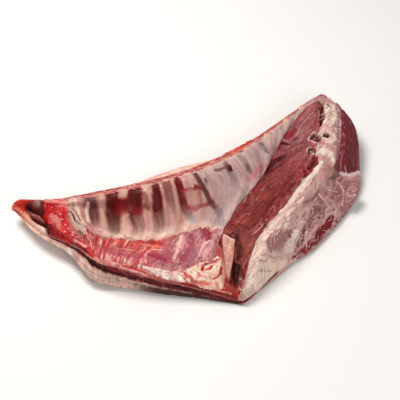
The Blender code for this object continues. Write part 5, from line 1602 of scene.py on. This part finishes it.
def build_ribs():
    """The rib bones, which run inside the wall and show only at the sawn rim."""
    tree = tube_tree("rib_bone_along_path", MATERIALS["bone"])
    size = {"Half Width": 4.6 * MM, "Half Thickness": 2.5 * MM, "Sides": 20}
    for number in range(1, RIB_COUNT + 1):
        piece = run_tree(f"rib_bone_{number:02d}", [rib_path(number)], tree, size)
        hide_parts(f"rib_{number:02d}")
        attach(piece, "root")


# Fields of loose threads: how many, where, their turn and its spread in degrees, length in mm, colours.
THREAD_FIELDS = (
    (90, (15.9, 18.2), (1.2, 3.3), 47, 22, 13, ("e8d0c8", "dcb6b0", "d0a09c")),
    (45, (14.2, 16.6), (2.2, 4.9), 55, 25, 10, ("f4e6dc", "e6cabe")),
    (40, (13.4, 16.5), (0.3, 2.2), 50, 30, 11, ("f2e2d8", "e2c6ba")),
    (14, (16.9, 17.25), (3.8, 5.6), 80, 20, 6, ("d8a0a6", "c87c86")),
    (40, (0.8, 12.5), (5.05, 5.35), -70, 35, 4, ("f2d2c8", "e2aaa0")),
    (30, (0.8, 5.6), (2.25, 2.7), 80, 20, 6, ("f0c8bc", "d2665a", "e8b0a2")),
    (24, (8.6, 11.5), (1.9, 2.6), -40, 40, 5, ("eccac2", "c88680")),
)


def thread_places(random, middle, turn, length):
    """Places along one loose thread that wanders over the meat."""
    steps = 8
    bend = np.cumsum(random.normal(0.0, 0.28, steps))
    heading = math.radians(turn) + bend - bend.mean()
    walk = np.stack([np.cos(heading), np.sin(heading)], 1) * length / steps
    plan = skin(middle[:1], middle[1:])[0, :2] + np.cumsum(walk, 0) - walk.sum(0) / 2
    along, across = np.full(steps, middle[0]), np.full(steps, middle[1])
    step = 0.02
    for _ in range(3):
        here = skin(along, across)[:, :2]
        by_along = (skin(along + step, across)[:, :2] - here) / step
        by_across = (skin(along, across + step)[:, :2] - here) / step
        miss = plan - here
        area = by_along[:, 0] * by_across[:, 1] - by_along[:, 1] * by_across[:, 0]
        forth = (miss[:, 0] * by_across[:, 1] - miss[:, 1] * by_across[:, 0]) / area
        aside = (by_along[:, 0] * miss[:, 1] - by_along[:, 1] * miss[:, 0]) / area
        along = np.clip(along + forth, -2.0, 18.3)
        across = np.clip(across + aside, 0.1, 6.8)
    return along, across


def build_threads():
    """Torn membrane threads over the fascia, the fat and the torn borders, each arching up a little toward
    its middle.
    """
    random = np.random.default_rng(17)
    places, swells, lifts, tints = [], [], [], []
    for count, along, across, turn, spread, length, codes in THREAD_FIELDS:
        for _ in range(count):
            middle = np.array([random.uniform(*along), random.uniform(*across)])
            size = length * random.uniform(0.5, 1.3)
            places.append(thread_places(random, middle, turn + random.normal(0.0, spread), size))
            arch = np.sin(math.pi * np.linspace(0.0, 1.0, len(places[-1][0])))
            lifts.append(0.05 + 0.5 * arch * random.random())
            swells.append((0.35 + 0.65 * arch) * random.uniform(0.6, 1.3))
            tints.append(np.tile(tone(codes[random.integers(len(codes))]), (len(arch), 1)))
    points, _ = surface(*(np.concatenate([place[k] for place in places]) for k in (0, 1)))
    points[:, 2] += np.concatenate(lifts)
    strands = np.split(points, len(places))
    # a thread that would stretch over a step in the meat is left out
    even = [np.linalg.norm(np.diff(strand, axis=0), axis=1).max() < 4.0 for strand in strands]
    paths = [path for path, keep in zip(zip(strands, swells, tints), even) if keep]
    tree = tube_tree("membrane_thread_along_path", MATERIALS["flank_fascia"])
    size = {"Half Width": 0.42 * MM, "Half Thickness": 0.26 * MM, "Sides": 6}
    piece = run_tree("membrane_threads", paths, tree, size)
    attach(piece, "root")


# ------------------------------------------------------------------ floor, light and camera


# Half the floor's width in metres, and the strength of the even light.
FLOOR_REACH = 6.0
WORLD_LIGHT = 0.32
# Lamps: place and width in metres, power in watts and colour.
SOFTBOXES = {
    "key_softbox": ((-0.45, 0.30, 1.25), 0.6, 15.0, (1.0, 0.98, 0.95)),
    "front_fill": ((0.5, -1.1, 1.0), 0.8, 6.0, (1.0, 0.98, 0.97)),
}
# The lens, the point aimed at and the distance are in mm, and the elevation is above the horizon.
LENS = 94.5
CAMERA_AIM = (11.0, -3.0, 15.0)
CAMERA_DISTANCE = 1250.0
CAMERA_ELEVATION = math.radians(50.0)


def studio_paper():
    """Matt off-white paper, very faintly cloudy: a clean floor that shows soft shadows."""
    material, tree, place = new_material("matt_studio_paper")
    shade = spread(tree, noise(tree, place, 3.0, 2.0), 0.0, 1.0, 0.985, 1.0)
    colour = add_node(tree, "ShaderNodeVectorMath", {"operation": "SCALE"}, {
        0: tuple(linear(tone("f4f2ef"))), "Scale": shade}).outputs["Vector"]
    shader = add_node(tree, "ShaderNodeBsdfPrincipled", None, {"Base Color": colour, "Roughness": 0.9})
    add_node(tree, "ShaderNodeOutputMaterial", None, {"Surface": shader.outputs["BSDF"]})
    return material


def build_stage():
    """A plain pale floor, far wider than the meat."""
    mesh = bpy.data.meshes.new("studio_floor")
    corners = [(x * FLOOR_REACH, y * FLOOR_REACH, 0) for x, y in ((-1, -1), (1, -1), (1, 1), (-1, 1))]
    mesh.from_pydata(corners, [], [(0, 1, 2, 3)])
    mesh.materials.append(studio_paper())
    floor = add_object("studio_floor", mesh)


def build_lights():
    """Soft light from all round, a large lamp behind on the left and a weak one in front."""
    world = bpy.data.worlds.new("studio")
    bpy.context.scene.world = world
    world.use_nodes = True
    background = world.node_tree.nodes["Background"]
    background.inputs["Color"].default_value = (0.98, 0.99, 1.0, 1.0)
    background.inputs["Strength"].default_value = WORLD_LIGHT
    for name, (place, size, power, colour) in SOFTBOXES.items():
        light = bpy.data.lights.new(name, "AREA")
        light.shape = "DISK"
        light.size = size
        light.energy = power
        light.color = colour
        lamp = add_object(name, light)
        lamp.location = place
        lamp.rotation_euler = (-Vector(place)).to_track_quat("-Z", "Y").to_euler()


def build_camera():
    """The camera, looking down on the split edge from in front."""
    camera = bpy.data.cameras.new("camera")
    camera.lens = LENS
    camera.sensor_width = 36.0
    camera.clip_start = 0.05
    camera.clip_end = 30.0
    away = np.array((0.0, -math.cos(CAMERA_ELEVATION), math.sin(CAMERA_ELEVATION)))
    place = np.array(CAMERA_AIM) - BOX_MIDDLE + CAMERA_DISTANCE * away
    eye = add_object("camera", camera)
    eye.location = place * MM
    eye.rotation_euler = (math.radians(90.0) - CAMERA_ELEVATION, 0.0, 0.0)
    bpy.context.scene.camera = eye
    bpy.context.scene.view_settings.view_transform = "Standard"


build_blocks()
build_sheets()
build_ribs()
build_threads()
build_stage()
build_lights()
build_camera()
